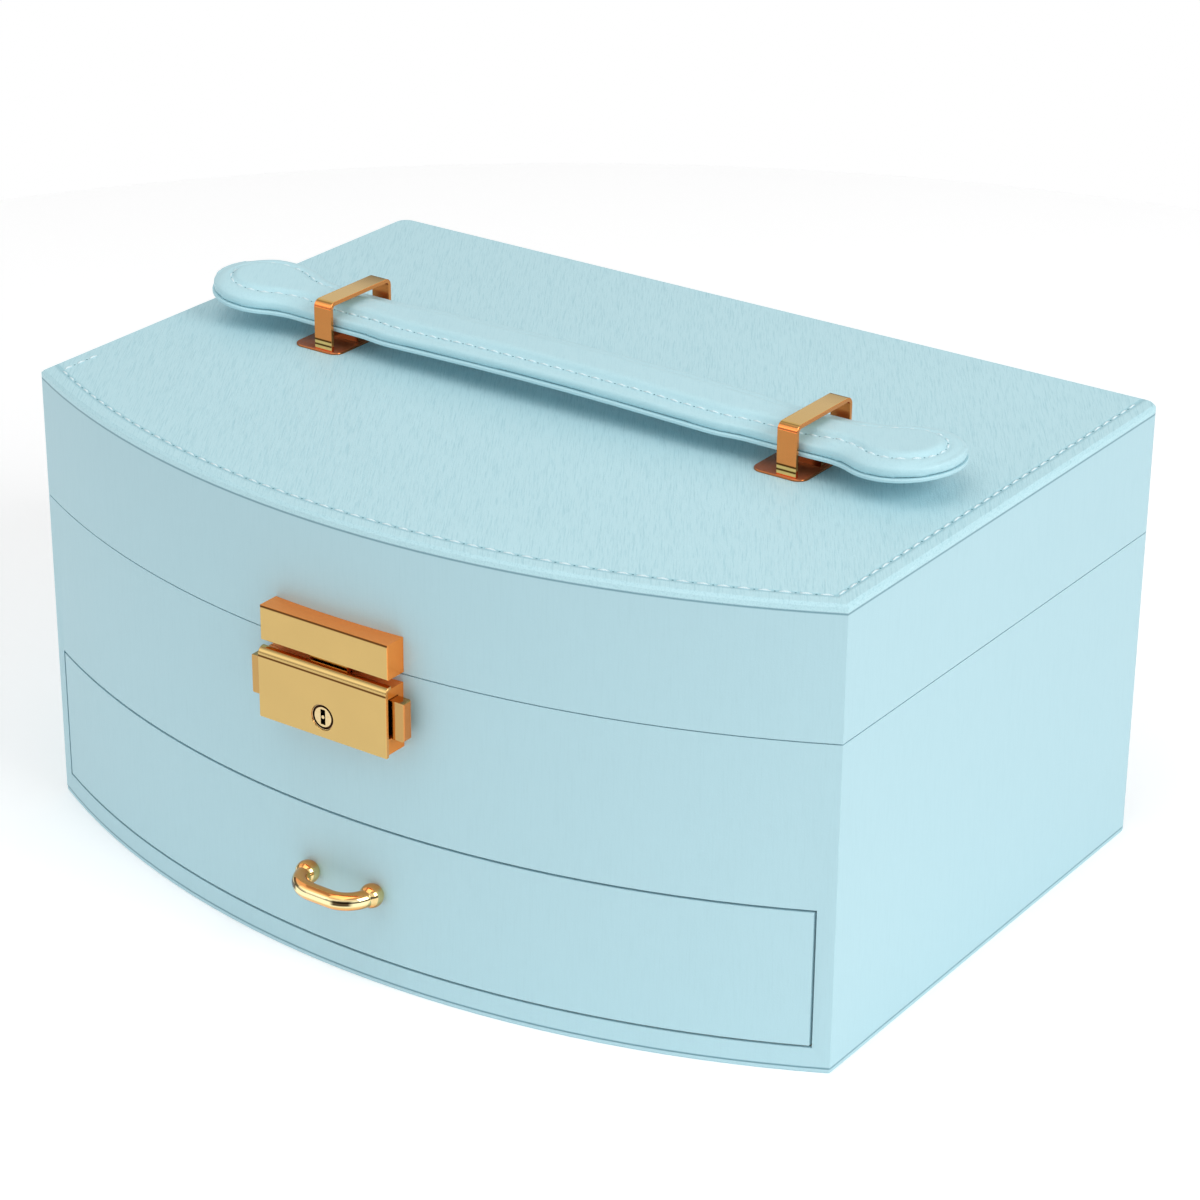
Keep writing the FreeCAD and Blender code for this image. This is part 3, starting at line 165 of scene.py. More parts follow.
def covering_paper():
    made, shader, place = material("covering_paper", Base_Color=rgb("A9CBD4"), Roughness=0.7)
    fibres = place.noise(700.0, 4.0, 0.6)
    tone = fibres.step(0.3, 0.7).mix(rgb("A3C6CF"), rgb("B1D2DA"))
    feed(shader, Base_Color=tone, Normal=bump(fibres, 0.3, 0.00005))
    return made


RAW = ("bottom_board", "deck_board", "lid_top_board", "drawer_bottom")
COVERED = (
    "case_side_left", "case_side_right", "case_back", "case_front_band",
    "lid_side_left", "lid_side_right", "lid_back", "lid_front",
    "drawer_front_board", "drawer_side_left", "drawer_side_right", "drawer_back",
)
for finish, boards in ((fibreboard(), RAW), (covering_paper(), COVERED)):
    for name in boards:
        nodes[name].data.materials.clear()
        nodes[name].data.materials.append(finish)

# Leather of the case: one light blue skin with a fine cross grain, glued over
# the boards and turned in at every edge, which leaves the edges slightly round.


def copy_of(node, whole=True):
    """A merged copy of a piece's mesh, its flat faces made whole again if asked."""
    shape = bmesh.new()
    shape.from_mesh(nodes[node].data)
    bmesh.ops.remove_doubles(shape, verts=shape.verts, dist=0.002 * MM)
    if whole:
        bmesh.ops.dissolve_limit(
            shape, angle_limit=math.radians(0.3), use_dissolve_boundaries=False,
            verts=shape.verts, edges=shape.edges, delimit={"NORMAL"},
        )
    return shape


def finish_piece(name, shape, finish, body, replaced=(), smooth_under=35.0):
    """Make an object of the mesh, with its finish, and let it ride on a body."""
    bmesh.ops.recalc_face_normals(shape, faces=shape.faces)
    limit = math.radians(smooth_under)
    for face in shape.faces:
        face.smooth = True
    for edge in shape.edges:
        edge.smooth = len(edge.link_faces) == 2 and edge.calc_face_angle(0.0) < limit
    mesh = bpy.data.meshes.new(name)
    shape.to_mesh(mesh)
    shape.free()
    mesh.materials.append(finish)
    piece = bpy.data.objects.new(name, mesh)
    bpy.context.scene.collection.objects.link(piece)
    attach(piece, body)
    if replaced:
        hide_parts(*replaced)
    return piece


def soften(piece, width, segments=3, angle=40.0):
    """Round every sharp edge of a piece, as turned leather or cast metal is."""
    bevel = piece.modifiers.new("soft_edges", "BEVEL")
    bevel.width = width
    bevel.segments = segments
    bevel.limit_method = "ANGLE"
    bevel.angle_limit = math.radians(angle)
    bevel.harden_normals = True
    bevel.miter_outer = "MITER_ARC"
    return piece


GRAIN_ACROSS = 90.0
GRAIN_ALONG = 4.0
GAP_SHADE_WIDTH = 0.5
SEAM_WIDTH = 1.2


def leather(name, tint, shade, strokes, along, depth, lean=0.0, joints=(), seam=None):
    """Pressed-grain leather. Along is the way the long strokes of the grain run
    and lean turns them about Z. Strokes is how strongly they show. Gap shade
    heights are heights in mm where a thin dark line of painted shade stands for
    the gap between two parts, and seam gives the pressed stitching line."""
    made, shader, place = material(name, Base_Color=tint, Roughness=0.52, Specular_IOR_Level=0.4)
    shader.inputs["Sheen Weight"].default_value = 0.08
    shader.inputs["Sheen Roughness"].default_value = 0.45
    turned = place.node("ShaderNodeMapping", None, Vector=place, Rotation=(0.0, 0.0, lean))
    long_ways = tuple(GRAIN_ALONG if axis == along else GRAIN_ACROSS for axis in "XYZ")
    fine_ways = tuple(way * 1.9 for way in long_ways)
    grain = turned.noise(26.0, 3.0, 0.62, stretch=long_ways, turn=(0.12, 0.08, 0.1))
    fine = turned.noise(26.0, 2.0, 0.55, stretch=fine_ways, turn=(-0.1, -0.14, -0.2))
    pores = place.node(
        "ShaderNodeTexVoronoi", {"feature": "DISTANCE_TO_EDGE"}, Vector=place, Scale=1150.0,
    ).step(0.0, 0.32)
    patches = place.noise(14.0, 3.0, 0.55).step(0.38, 0.66)
    clouds = place.noise(5.0, 2.0, 0.5).step(0.3, 0.7)
    pressed = grain.step(0.25, 0.75) * 0.6 + fine.step(0.25, 0.75) * 0.4
    height = pressed * (patches * 0.55 + 0.45) * strokes + pores * 0.3
    mottled = (clouds * 0.5).mix(tint, tuple(min(1.0, c * 1.04) for c in tint[:3]) + (1.0,))
    tone = (pressed.step(0.0, 0.6) * strokes + (1.0 - strokes)).mix(shade, mottled)
    # Painted shade: a thin dark line at each gap height, for the shade in the joint.
    for level in joints:
        away = (place.axes()[2] - level * MM).absolute()
        tone = away.step(0.0, GAP_SHADE_WIDTH * MM).mix(rgb("6F98A5"), tone)
    if seam:
        away = (seam(place) - STITCH_INSET * MM).absolute().step(0.2 * MM, SEAM_WIDTH * MM)
        height = height + away * 2.0
        tone = away.mix(shade, tone)
    feed(
        shader,
        Base_Color=tone,
        Roughness=0.56 - pressed * 0.1,
        Normal=bump(height, 0.55, depth),
    )
    return made


# Heights in mm of the joints that get a line of painted shade.
BASE_TOP = 1.5
LID_JOINT = 127.9
case_finish = leather(
    "leather_walls", rgb("ADD0D9"), rgb("A6CAD3"), 0.3, "Z", 0.00005, joints=(BASE_TOP, LID_JOINT),
)
case = finish_piece("case_skin", copy_of("case_leather"), case_finish, "case", ["case_leather"])
soften(case, 0.42 * MM)

# Base: a thin board wrapped in the same leather, glued below the case, with a
# narrow line of painted shade in the joint between the two.

base = finish_piece("base_skin", copy_of("base_board"), case_finish, "case", ["base_board"])
soften(base, 0.5 * MM)

# Lid band and lid panel: the band wraps the four walls. The panel is a separate
# piece of stitched leather over the top board, with a line of painted shade in
# the joint below its edge.

band = finish_piece("lid_skin", copy_of("lid_leather"), case_finish, "lid", ["lid_leather"])
soften(band, 0.5 * MM)

HALF_WIDTH = 130.0
HALF_DEPTH = 80.5
BOW = 32.5
BOW_RADIUS = (HALF_WIDTH ** 2 + BOW ** 2) / (2 * BOW)
BOW_CENTRE = -HALF_DEPTH - BOW + BOW_RADIUS
LID_TOP = 130.3
STITCH_INSET = 5.0


def inside_panel(place):
    """How far a point of the panel is inside its front or right edge, in metres."""
    x, y, _ = place.axes()
    across = y - BOW_CENTRE * MM
    front = BOW_RADIUS * MM - (x * x + across * across) ** 0.5
    return front.lesser(HALF_WIDTH * MM - x)


VIEW_LEAN = math.radians(-33)
panel_finish = leather(
    "leather_panel", rgb("B9DEE6"), rgb("9FCBD5"), 0.75, "Y", 0.00018,
    lean=VIEW_LEAN, joints=(LID_JOINT,), seam=inside_panel,
)
panel = finish_piece("lid_panel_skin", copy_of("lid_panel", whole=False), panel_finish, "lid", ["lid_panel"])
soften(panel, 0.5 * MM, segments=4, angle=30.0)
level_top = panel.modifiers.new("level_top", "WEIGHTED_NORMAL")
level_top.weight = 100
level_top.keep_sharp = True

# Stitching of the lid panel: one line of pale waxed thread 5 mm inside the front
# and right edges. Each stitch dips into its two holes, whose shade is painted as
# flat dark beads on the surface.


THREAD_WIDTH = 0.7
THREAD_THICK = 0.55
THREAD_LIFT = 0.15
HOLE_LENGTH = 0.7
HOLE_WIDTH = 0.6
HOLE_THICK = 0.12
HOLE_LIFT = 0.03
LID_PITCH = 5.0
LID_STITCH = 3.9
LEFT_RUN = 15


def bow_at(x, inset):
    """Y of the bowed front at x, inset from its outer face."""
    return BOW_CENTRE - math.sqrt((BOW_RADIUS - inset) ** 2 - x * x)


def walk(points, pitch):
    """Evenly spaced (position, direction) pairs along a run of points."""
    lengths = [0.0]
    for first, second in zip(points, points[1:]):
        lengths.append(lengths[-1] + (second - first).length)
    count = max(1, round(lengths[-1] / pitch))
    spaced = []
    part = 0
    for number in range(count):
        target = (number + 0.5) * lengths[-1] / count
        while lengths[part + 1] < target:
            part += 1
        share = (target - lengths[part]) / (lengths[part + 1] - lengths[part])
        along = (points[part + 1] - points[part]).normalized()
        spaced.append((points[part].lerp(points[part + 1], share), along))
    return spaced


def beads(name, spots, length, width, thick, lift, finish, body):
    """Small flattened beads of thread, or dark beads of painted shade for holes, laid along (position,
    direction) pairs.
    """
    shape = bmesh.new()
    for middle, along in spots:
        bead = bmesh.ops.create_icosphere(shape, subdivisions=1, radius=1.0)["verts"]
        side = Vector((0, 0, 1)).cross(along).normalized()
        up = along.cross(side)
        for vert in bead:
            u, v, w = vert.co
            rise = lift + thick / 2 * (w - u * u)
            vert.co = (middle + along * (u * length / 2) + side * (v * width / 2) + up * rise) * MM
    return finish_piece(name, shape, finish, body, smooth_under=180.0)


def stitches(name, run, pitch, length, body):
    """A row of stitches along a run of points, with beads of painted shade for the holes between them."""
    spots = walk(run, pitch)
    beads(name, spots, length, THREAD_WIDTH, THREAD_THICK, THREAD_LIFT, thread_finish, body)
    hole_shades = [(first[0].lerp(second[0], 0.5), first[1]) for first, second in zip(spots, spots[1:])]
    beads(f"{name}_holes", hole_shades, HOLE_LENGTH, HOLE_WIDTH, HOLE_THICK, HOLE_LIFT, hole_shade_finish, body)


def thread():
    made, shader, place = material("thread", Base_Color=rgb("DDF0F4"), Roughness=0.6)
    twist = place.node("ShaderNodeTexWave", None, Vector=place, Scale=900.0, Distortion=1.0)
    feed(shader, Base_Color=twist.mix(rgb("C9E3E9"), rgb("E6F4F7")), Normal=bump(twist, 0.4, 0.00005))
    return made


# Painted shade: the stitch holes are dark beads on the surface, coloured as the shade inside them.
def stitch_hole_shade():
    made, shader, place = material("stitch_hole_shade", Base_Color=rgb("5E8C98"), Roughness=0.8)
    mottled = place.noise(800.0, 2.0, 0.5)
    feed(shader, Base_Color=mottled.mix(rgb("517D89"), rgb("74A1AC")))
    return made


thread_finish = thread()
hole_shade_finish = stitch_hole_shade()
side_x = HALF_WIDTH - STITCH_INSET
back_y = HALF_DEPTH - STITCH_INSET
corner_y = bow_at(side_x, STITCH_INSET)
runs = {
    "front": [(x, bow_at(x, STITCH_INSET)) for x in range(-int(side_x), int(side_x) + 1, 5)],
    "right": [(side_x, corner_y), (side_x, back_y)],
    "left": [(-side_x, corner_y + LEFT_RUN), (-side_x, corner_y)],
}
for name, run in runs.items():
    points = [Vector((x, y, LID_TOP)) for x, y in run]
    stitches(f"lid_stitches_{name}", points, LID_PITCH, LID_STITCH, "lid")

# Drawer front: the same leather over a bowed board, turned in on all sides. It
# closes flush with the case and leaves a narrow dark gap round itself.

drawer_skin = finish_piece(
    "drawer_skin", copy_of("drawer_front_leather"), case_finish, "drawer", ["drawer_front_leather"],
)
soften(drawer_skin, 0.42 * MM)

# Velvet: short ivory pile, glued into the tray, the lid, the drawer and on the
# floor of the drawer bay.


def velvet(name, tint, shade):
    made, shader, place = material(name, Base_Color=tint, Roughness=0.92, Specular_IOR_Level=0.2)
    shader.inputs["Sheen Weight"].default_value = 0.5
    shader.inputs["Sheen Roughness"].default_value = 0.35
    pile = place.noise(1900.0, 3.0, 0.7)
    brushed = place.noise(22.0, 4.0, 0.6, stretch=(1.0, 2.4, 1.6)).step(0.35, 0.65)
    tone = (brushed * 0.6 + pile * 0.4).mix(shade, tint)
    feed(shader, Base_Color=tone, Normal=bump(pile, 0.7, 0.00025))
    return made


velvet_finish = velvet("velvet", rgb("E9E2D4"), rgb("D8CFBE"))
for name, body, edge in (
    ("tray_lining", "case", 0.5),
    ("lid_lining", "lid", 0.5),
    ("drawer_lining", "drawer", 0.4),
    ("bay_felt", "case", 0.1),
):
    lined = finish_piece(f"{name}_velvet", copy_of(name), velvet_finish, body, [name])
    soften(lined, edge * MM)

# Dividers: thin card wrapped in the velvet, so their top edges are full rounds.
# Four stand in the tray and three in the drawer.

for name in (
    "tray_divider_long", "tray_divider_ring", "tray_divider_cross", "tray_divider_back",
    "drawer_divider_cross", "drawer_divider_left", "drawer_divider_right",
):
    body = "case" if name.startswith("tray") else "drawer"
    wall = finish_piece(f"{name}_velvet", copy_of(name), velvet_finish, body, [name])
    soften(wall, 0.7 * MM, segments=4)

# Ring rolls: seven foam rolls covered in velvet, flat below and round on top,
# pressed side by side. The velvet bulges a little between its glued ends.


ROLL_HEIGHT = 15.0
ROLL_SWELL = 0.5


def roll_form(shape):
    """Crown a roll along its length and let its ends pull in."""
    low = min(vert.co.x for vert in shape.verts)
    high = max(vert.co.x for vert in shape.verts)
    floor = min(vert.co.z for vert in shape.verts)
    for vert in shape.verts:
        run = (vert.co.x - low) / (high - low) * 2 - 1
        lift = (vert.co.z - floor) / (ROLL_HEIGHT * MM)
        vert.co.z += ROLL_SWELL * MM * lift * (math.cos(run * math.pi / 2) ** 0.5 - 0.6) * 0.8
    return shape


def ring_rolls():
    whole = copy_of("ring_rolls")
    lengthways = [e for e in whole.edges if abs(e.verts[0].co.x - e.verts[1].co.x) > 40 * MM]
    bmesh.ops.subdivide_edges(whole, edges=lengthways, cuts=15, use_grid_fill=True)
    piece = finish_piece(
        "ring_rolls_velvet", roll_form(whole), velvet_finish, "case", ["ring_rolls"],
        smooth_under=50.0,
    )
    soften(piece, 1.1 * MM, segments=4)


ring_rolls()

# Mirror: silvered glass on the lid's ceiling. Its frame is a thin gilt one, and
# comes in the next section with the other gilt metal.


def mirror():
    made, shader, place = material("mirror_silver", Base_Color=rgb("E6EAEB"), Metallic=1.0)
    haze = place.noise(30.0, 3.0, 0.6)
    feed(shader, Base_Color=haze.mix(rgb("E2E7E8"), rgb("EEF1F1")), Roughness=haze * 0.03 + 0.02)
    return made


mirror_finish = mirror()
glass = finish_piece(
    "mirror_plate", copy_of("mirror_glass"), mirror_finish, "lid", ["mirror_glass"],
)
soften(glass, 0.3 * MM)

# Gilt metal: zinc castings and brass strip, polished and plated. Faces that look
# along some ways carry a painted reflection, warmer or paler than the rest, and
# the plating shows faint polishing lines.


EDGE_BLUR = 0.2
FOLD_HALF = 0.1
FOLD_BLUR = 0.45


def gilt(name, tint, face_reflection, ways, rough, dull=0.4, dark_reflection_folds=(), band=None):
    """Plated metal: tint, and a painted reflection tone, less metallic, on faces
    that look along the named ways. Heights in mm: each fold gets a thin dark line
    of painted reflection, and the band gets a pale painted reflection."""
    made, shader, place = material(name, Base_Color=tint, Metallic=1.0, Roughness=rough)
    lines = place.noise(300.0, 3.0, 0.6, stretch=(1.0, 1.0, 14.0))
    cloud = place.noise(70.0, 2.0, 0.5).step(0.3, 0.7)
    facing = place.out("Normal").axes()
    turned = sum(facing["XYZ".index(way)].absolute() for way in ways).step(0.45, 1.0)
    fronts = facing[1].absolute().step(0.3, 0.7)
    height = place.axes()[2]
    paler = tuple(min(1.0, c * 1.06) for c in tint[:3]) + (1.0,)
    # Painted reflection: faces along the ways take the reflection tone.
    tone = turned.mix((cloud * 0.5).mix(tint, paler), face_reflection)
    # Painted reflection: the band is a pale line on the front faces.
    if band:
        above = (height - band[0] * MM).step(0.0, EDGE_BLUR * MM)
        below = (band[1] * MM - height).step(0.0, EDGE_BLUR * MM)
        tone = (above * below * fronts).mix(tone, rgb("FFCA7C"))
    # Painted reflection: a thin dark line on the front faces at each fold.
    for fold in dark_reflection_folds:
        away = (height - fold * MM).absolute()
        dark = (1.0 - away.step(FOLD_HALF * MM, FOLD_BLUR * MM)) * fronts
        tone = dark.mix(tone, rgb("5A3310"))
    feed(
        shader,
        Base_Color=tone,
        Metallic=1.0 - turned * dull,
        Roughness=lines * 0.05 + (rough - 0.02),
        Normal=bump(lines, 0.05, 0.00002),
    )
    return made


gilt_finish = gilt("gilt", rgb("CAAB6D"), rgb("FF953C"), "XZ", 0.12)


def casting(node, body, edge, segments=3, finish=gilt_finish):
    """A gilt casting or strip from its node, with its edges eased."""
    piece = finish_piece(f"{node}_gilt", copy_of(node), finish, body, [node])
    if edge:
        soften(piece, edge * MM, segments=segments, angle=30.0)
    return piece


plain_gilt = gilt("gilt_plain", rgb("CAAB6D"), rgb("E8A35A"), "X", 0.1)
casting("mirror_frame", "lid", edge=0.4, finish=plain_gilt)

# Hinges: two brass butt hinges on the back. The leaves share one finish with
# their pins and with the round heads of their screws.

casting("hinge_case_leaves", "case", edge=0.12)
casting("hinge_lid_leaves", "lid", edge=0.12)
casting("hinge_pins", "case", edge=0.15)
casting("hinge_case_screws", "case", edge=0.18)
casting("hinge_lid_screws", "lid", edge=0.18)

# Lock: cast body on the case behind a front plate rolled back over its top, a
# strike block on the lid with its tongue, two push buttons on steel springs that
# stand out at the sides, and a key cylinder with an upright keyway.

# At these heights the plate and the strike get a thin dark line of painted reflection.
PLATE_FOLD = 89.7
STRIKE_FOLD = 103.2
casting("lock_case", "case", edge=0.25)
plate_finish = gilt("gilt_plate", rgb("CAAB6D"), rgb("E8A35A"), "X", 0.1, dark_reflection_folds=(PLATE_FOLD,))
casting("lock_plate", "case", edge=0.22, segments=4, finish=plate_finish)
strike_finish = gilt("gilt_strike", rgb("CAAB6D"), rgb("FF953C"), "XZ", 0.12, dark_reflection_folds=(STRIKE_FOLD,))
casting("lock_strike", "lid", edge=0.3, segments=4, finish=strike_finish)
casting("lock_tongue", "lid", edge=0.15)
button_finish = gilt("gilt_button", rgb("BB955C"), rgb("D98440"), "X", 0.12)
for button in ("lock_button_left", "lock_button_right"):
    casting(button, button, edge=0.25, finish=button_finish)


def turned_brass():
    """Brass of the key cylinder, pale on its face, with painted shade in the ring and the keyway, which sit
    behind the face.
    """
    made, shader, place = material("turned_brass", Base_Color=rgb("E2C793"), Metallic=1.0, Roughness=0.16)
    face = min(vert.co.y for vert in nodes["lock_cylinder"].data.vertices)
    # Painted shade: dark and rougher behind the face of the cylinder.
    recess_shade = (place.axes()[1] - face).step(0.1 * MM, 0.3 * MM)
    lines = place.noise(300.0, 3.0, 0.6, stretch=(1.0, 1.0, 14.0))
    feed(
        shader,
        Base_Color=recess_shade.mix(lines.mix(rgb("D3B57C"), rgb("EBD6AB")), rgb("3A1F0E")),
        Roughness=recess_shade * 0.3 + 0.14,
        Normal=bump(lines, 0.05, 0.00002),
    )
    return made


casting("lock_cylinder", "lock_cylinder", edge=0.12, finish=turned_brass())


def bright_steel():
    made, shader, place = material("bright_steel", Base_Color=rgb("A9ABAE"), Metallic=1.0, Roughness=0.3)
    drawn = place.noise(400.0, 2.0, 0.5)
    feed(shader, Roughness=drawn * 0.15 + 0.22, Base_Color=drawn.mix(rgb("9C9EA2"), rgb("B9BBBD")))
    return made


steel_finish = bright_steel()


def steel_piece(node, body):
    """A steel spring or screw from its node."""
    finish_piece(f"{node}_steel", copy_of(node), steel_finish, body, [node])


for side in ("left", "right"):
    steel_piece(f"lock_spring_{side}", f"lock_button_{side}")

# Drawer pull: cast bow on two ball feet, plated and polished smoother than the
# rest of the metal, with a painted highlight and painted reflections in its
# colour. Two steel screws hold it from inside the drawer.

steel_piece("drawer_pull_screws", "drawer")

REFLECTION_PATCHES = (7.5, -9.5)


def polished_bow():
    """Polished casting with painted reflections: a pale painted highlight along the
    front of the bow, two dark painted reflections in it, and a warm painted
    reflection above and below."""
    made, shader, place = material("polished_bow", Base_Color=rgb("E3BE7C"), Metallic=1.0, Roughness=0.05)
    climb = place.out("Normal").axes()[2]
    along = place.axes()[0]
    pale = 1.0 - (climb - 0.2).absolute().step(0.25, 0.5)
    face_reflection = (climb - 0.15).absolute().step(0.4, 0.7)
    front = min(vert.co.y for vert in nodes["drawer_pull"].data.vertices)
    bow = 1.0 - (place.axes()[1] - front).step(5 * MM, 8 * MM)
    patches = sum(1.0 - (along - x * MM).absolute().step(1.6 * MM, 3.0 * MM) for x in REFLECTION_PATCHES)
    dark_reflection = (1.0 - (climb - 0.22).absolute().step(0.2, 0.36)) * patches * bow
    lines = place.noise(300.0, 3.0, 0.6, stretch=(14.0, 1.0, 1.0))
    body = face_reflection.mix((pale * (bow * 0.7 + 0.3)).mix(rgb("E3BE7C"), rgb("FFF0BA")), rgb("EE9E58"))
    feed(
        shader,
        Base_Color=(dark_reflection * 0.95).mix(body, rgb("3A220A")),
        Roughness=lines * 0.04 + 0.03,
        Normal=bump(lines, 0.04, 0.00002),
    )
    return made


casting("drawer_pull", "drawer", edge=0.0, finish=polished_bow())

# Staples and their plates: brass strip bent square over the strap, its legs
# pushed through a rounded plate and the lid. The top of the bar takes a pale
# painted reflection, and a leg a painted reflection of its plate close to it: a
# pale band between two dark lines.

staple_finish = gilt(
    "gilt_staples", rgb("FF9450"), rgb("C7A35E"), "Z", 0.1, dull=0.0,
    dark_reflection_folds=(LID_TOP + 2.0, LID_TOP + 3.4), band=(LID_TOP + 0.8, LID_TOP + 3.3),
)
washer_finish = gilt("gilt_washers", rgb("B56C3C"), rgb("AE6440"), "Z", 0.14, dull=0.7)
for side in ("left", "right"):
    casting(f"staple_{side}", "lid", edge=0.2, finish=staple_finish)
    casting(f"staple_plate_{side}", "lid", edge=0.12, finish=washer_finish)

# Strap: stuffed leather over a thin backing, stitched all round 5 mm inside the
# edge. It lies nearly level in its staples and lifts at both ends.

STRAP_MIDDLE = Vector((-1.7, -10.6))
TIP = 121.0
PADDLE = 15.5
NECK = 10.6
GRIP = 12.0
PADDLE_X = TIP - PADDLE
SHOULDER_X = 87.0
NECK_X = 66.0
GRIP_X = 52.0
STRAP_SEAM = 5.0
STRAP_PITCH = 4.2
STRAP_STITCH = 3.2
SEAM_SINK = 0.35
SEAM_SPREAD = 0.7
CROWN_END = 112
CROWN_SINK = 2.4
ROUND_END_RISE = 1.6
ROUND_END_X = 70.0
ROUND_END_RUN = 18.0
EDGE_ROUND = 4.4
EDGE_DROP = 2.2
FINE_VOXEL = 0.6


def swing(run, length, rise):
    """Height of an S of two equal arcs, run along its length."""
    radius = (length ** 2 + rise ** 2) / (4 * rise)
    if run < length / 2:
        return radius - math.sqrt(radius ** 2 - run ** 2)
    return rise - radius + math.sqrt(radius ** 2 - (length - run) ** 2)


def strap_half(x):
    """Half the strap's width at x."""
    x = abs(x)
    if x <= GRIP_X:
        return GRIP
    if x < NECK_X:
        return GRIP - swing(x - GRIP_X, NECK_X - GRIP_X, GRIP - NECK)
    if x <= SHOULDER_X:
        return NECK
    if x < PADDLE_X:
        return NECK + swing(x - SHOULDER_X, PADDLE_X - SHOULDER_X, PADDLE - NECK)
    return PADDLE


def edge_distance(x, y):
    """How far a point of the strap is inside its outline."""
    y = abs(y - STRAP_MIDDLE.y)
    x = abs(x - STRAP_MIDDLE.x)
    if x > PADDLE_X:
        return PADDLE - math.hypot(x - PADDLE_X, y)
    slope = strap_half(x + 0.5) - strap_half(x - 0.5)
    return (strap_half(x) - y) / math.hypot(1.0, slope)


def top_at(source, x, y):
    """Height of the strap's top above x, y."""
    hit, place, _, _ = source.ray_cast(Vector((x * MM, y * MM, 0.2)), Vector((0, 0, -1)))
    return place.z / MM if hit else LID_TOP


def seam_line(inset):
    """Closed run of (x, y) points inside the strap's outline."""
    straight = [x * 0.5 for x in range(0, int(PADDLE_X * 2) + 1)]
    quarter = [(x, strap_half(x) - inset) for x in straight]
    radius = PADDLE - inset
    for turn in range(1, 19):
        angle = math.pi / 2 - turn * math.pi / 36
        quarter.append((PADDLE_X + radius * math.cos(angle), radius * math.sin(angle)))
    upper = [(-x, y) for x, y in reversed(quarter)] + quarter
    lower = [(x, -y) for x, y in reversed(upper)]
    return upper + lower


strap_finish = leather("leather_strap", rgb("B8DDE5"), rgb("A8D1DB"), 0.4, "Y", 0.0001, lean=VIEW_LEAN)


def even_mesh(pad):
    """A fine, even mesh of the pad with its edges smoothed."""
    remesh = pad.modifiers.new("even", "REMESH")
    remesh.mode = "VOXEL"
    remesh.voxel_size = FINE_VOXEL * MM
    graph = bpy.context.evaluated_depsgraph_get()
    even = bpy.data.meshes.new_from_object(pad.evaluated_get(graph))
    pad.modifiers.clear()
    shape = bmesh.new()
    shape.from_mesh(even)
    for _ in range(6):
        bmesh.ops.smooth_vert(
            shape, verts=shape.verts, factor=0.5, use_axis_x=True, use_axis_y=True, use_axis_z=True,
        )
    return shape


def crown_line(pad):
    """Heights along the middle of the pad's top, one for each millimetre."""
    steps = range(-CROWN_END, CROWN_END + 1)
    return [top_at(pad, x + STRAP_MIDDLE.x, STRAP_MIDDLE.y) for x in steps]


def stuffed_height(x, inside, crown):
    """Least height of the stuffed top, x from the strap's middle and this far inside."""
    run = min(max(x + CROWN_END, 0.0), CROWN_END * 2 - 1.0)
    before = int(run)
    level = crown[before] + (crown[before + 1] - crown[before]) * (run - before)
    open_edge = min(max(1 - inside / EDGE_ROUND, 0.0), 1.0)
    round_end = min(max((abs(x) - ROUND_END_X) / ROUND_END_RUN, 0.0), 1.0)
    drop = EDGE_DROP * (1 - math.sqrt(1 - open_edge ** 2))
    return level - CROWN_SINK + ROUND_END_RISE * round_end - drop


def strap_pad():
    """The stuffed part: remeshed fine, its crown rounded, drawn down along the seam."""
    pad = finish_piece("strap_pad", copy_of("handle_pad"), strap_finish, "handle", ["handle_pad"])
    shape = even_mesh(pad)
    crown = crown_line(pad)
    for vert in shape.verts:
        if vert.normal.z > 0.2:
            inside = edge_distance(vert.co.x / MM, vert.co.y / MM)
            filled = stuffed_height(vert.co.x / MM - STRAP_MIDDLE.x, inside, crown)
            seam = math.exp(-((inside - STRAP_SEAM) / SEAM_SPREAD) ** 2)
            vert.co.z = max(vert.co.z, filled * MM) - SEAM_SINK * seam * MM
    for face in shape.faces:
        face.smooth = True
        face.material_index = 0
    shape.to_mesh(pad.data)
    shape.free()
    pad.data.materials.clear()
    pad.data.materials.append(strap_finish)
    return pad


pad = strap_pad()
bpy.context.view_layer.update()
middle_x, middle_y = STRAP_MIDDLE
ring = [
    Vector((x + middle_x, y + middle_y, top_at(pad, x + middle_x, y + middle_y)))
    for x, y in seam_line(STRAP_SEAM)
]
stitches("strap_stitches", ring + [ring[0]], STRAP_PITCH, STRAP_STITCH, "handle")

backing = finish_piece(
    "strap_backing", copy_of("handle_backing"), strap_finish, "handle", ["handle_backing"],
)
soften(backing, 0.35 * MM)

# Studio: a plain white floor in a white room, with soft lamps. Polished metal
# sees the room darker in two belts, which draws the dark lines on its bends.

FLOOR_RADIUS = 600.0
SKY = 0.55
floor_shape = bmesh.new()
bmesh.ops.create_circle(floor_shape, cap_ends=True, segments=96, radius=FLOOR_RADIUS * MM)
floor_mesh = bpy.data.meshes.new("floor")
floor_shape.to_mesh(floor_mesh)
floor_shape.free()
floor = bpy.data.objects.new("floor", floor_mesh)
bpy.context.scene.collection.objects.link(floor)


def white_floor():
    made = bpy.data.materials.new("studio_floor")
    made.use_nodes = True
    tree = made.node_tree
    shader = tree.nodes["Principled BSDF"]
    shader.inputs["Base Color"].default_value = (0.97, 0.97, 0.97, 1.0)
    shader.inputs["Emission Color"].default_value = (1.0, 1.0, 1.0, 1.0)
    shader.inputs["Emission Strength"].default_value = 0.18
    shader.inputs["Roughness"].default_value = 0.9
    return made


floor_mesh.materials.append(white_floor())

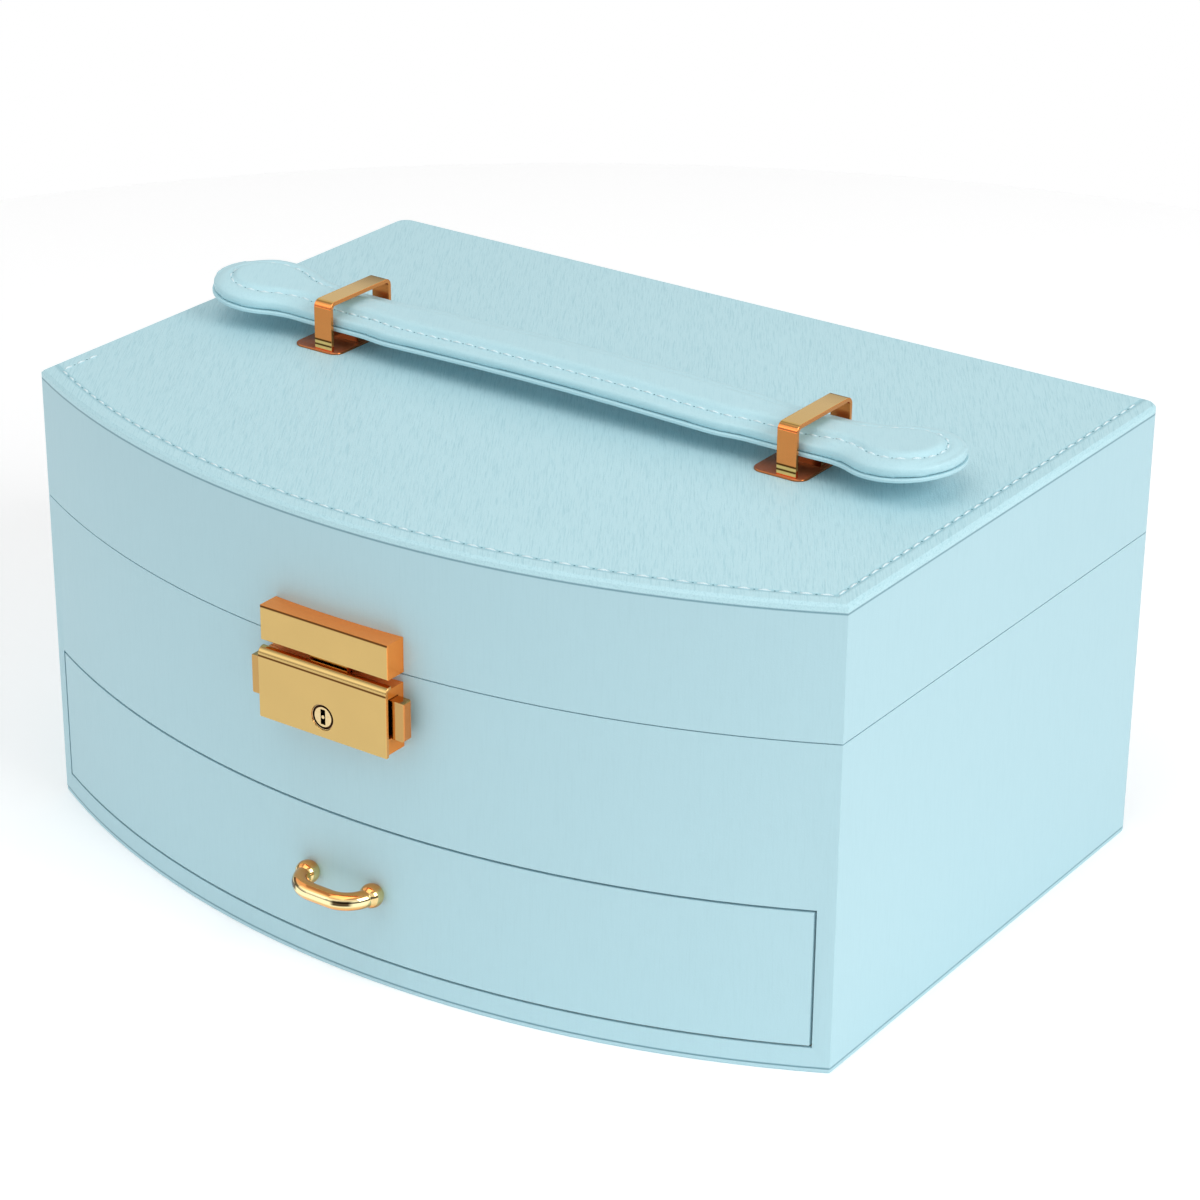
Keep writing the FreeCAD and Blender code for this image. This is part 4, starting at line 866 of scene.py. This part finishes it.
world = bpy.data.worlds.new("studio")
bpy.context.scene.world = world
world.use_nodes = True
tree = world.node_tree
background = tree.nodes["Background"]
paths = tree.nodes.new("ShaderNodeLightPath")
camera_ray = Wire(tree, paths.outputs["Is Camera Ray"])
glossy_ray = camera_ray.out("Is Glossy Ray")
clear_ray = camera_ray.out("Is Transmission Ray")
seen = camera_ray.maths("MAXIMUM", camera_ray, clear_ray)
coordinates = tree.nodes.new("ShaderNodeTexCoord")
climb = Wire(tree, coordinates.outputs["Generated"]).axes()[2]
low_band = (climb - 0.14).absolute().step(0.12, 0.2)
high_band = (climb - 0.82).absolute().step(0.03, 0.07)
mirrored = low_band * 0.85 * (high_band * 0.6 + 0.4) + 0.15
strength = seen + (1.0 - seen) * (glossy_ray * mirrored + (1.0 - glossy_ray) * SKY)
tree.links.new(strength.socket, background.inputs["Strength"])
background.inputs["Color"].default_value = (1.0, 1.0, 1.0, 1.0)


def lamp(name, place, target, width, power):
    """A soft square lamp aimed at a point; sizes in metres."""
    data = bpy.data.lights.new(name, "AREA")
    data.size = width
    data.energy = power
    light = bpy.data.objects.new(name, data)
    light.location = place
    light.rotation_euler = (Vector(target) - Vector(place)).to_track_quat("-Z", "Y").to_euler()
    bpy.context.scene.collection.objects.link(light)


lamp("key", (1.5, -0.2, 1.0), (0, 0, 0.06), 0.9, 14.6)
lamp("fill", (-1.3, -1.2, 0.8), (0, 0, 0.06), 1.2, 2.3)
lamp("low", (-0.5, -1.8, 0.5), (0, 0, 0.1), 1.4, 1.5)
lamp("top", (-0.1, -0.6, 1.6), (0, 0, 0.06), 1.2, 6.0)

# Camera: fitted to the edges of the box in the photograph. The picture is square
# and the focal length, in mm, is for the width of film given here.

AZIMUTH, ELEVATION, ROLL = math.radians(35.06), math.radians(24.89), math.radians(0.47)
DISTANCE = 916.6 * MM
LENS = 106.5
FILM = 36.0
LOOK_AT = Vector((41.5, -56.8, 98.6))
back = Vector((
    math.sin(AZIMUTH) * math.cos(ELEVATION),
    -math.cos(AZIMUTH) * math.cos(ELEVATION),
    math.sin(ELEVATION),
))
camera_data = bpy.data.cameras.new("camera")
camera_data.lens = LENS
camera_data.sensor_width = FILM
camera = bpy.data.objects.new("camera", camera_data)
bpy.context.scene.collection.objects.link(camera)
camera.location = LOOK_AT * MM + back * DISTANCE
facing = (-back).to_track_quat("-Z", "Y").to_matrix().to_4x4() @ Matrix.Rotation(ROLL, 4, "Z")
camera.rotation_euler = facing.to_euler()
bpy.context.scene.camera = camera
bpy.context.scene.view_settings.view_transform = "Standard"
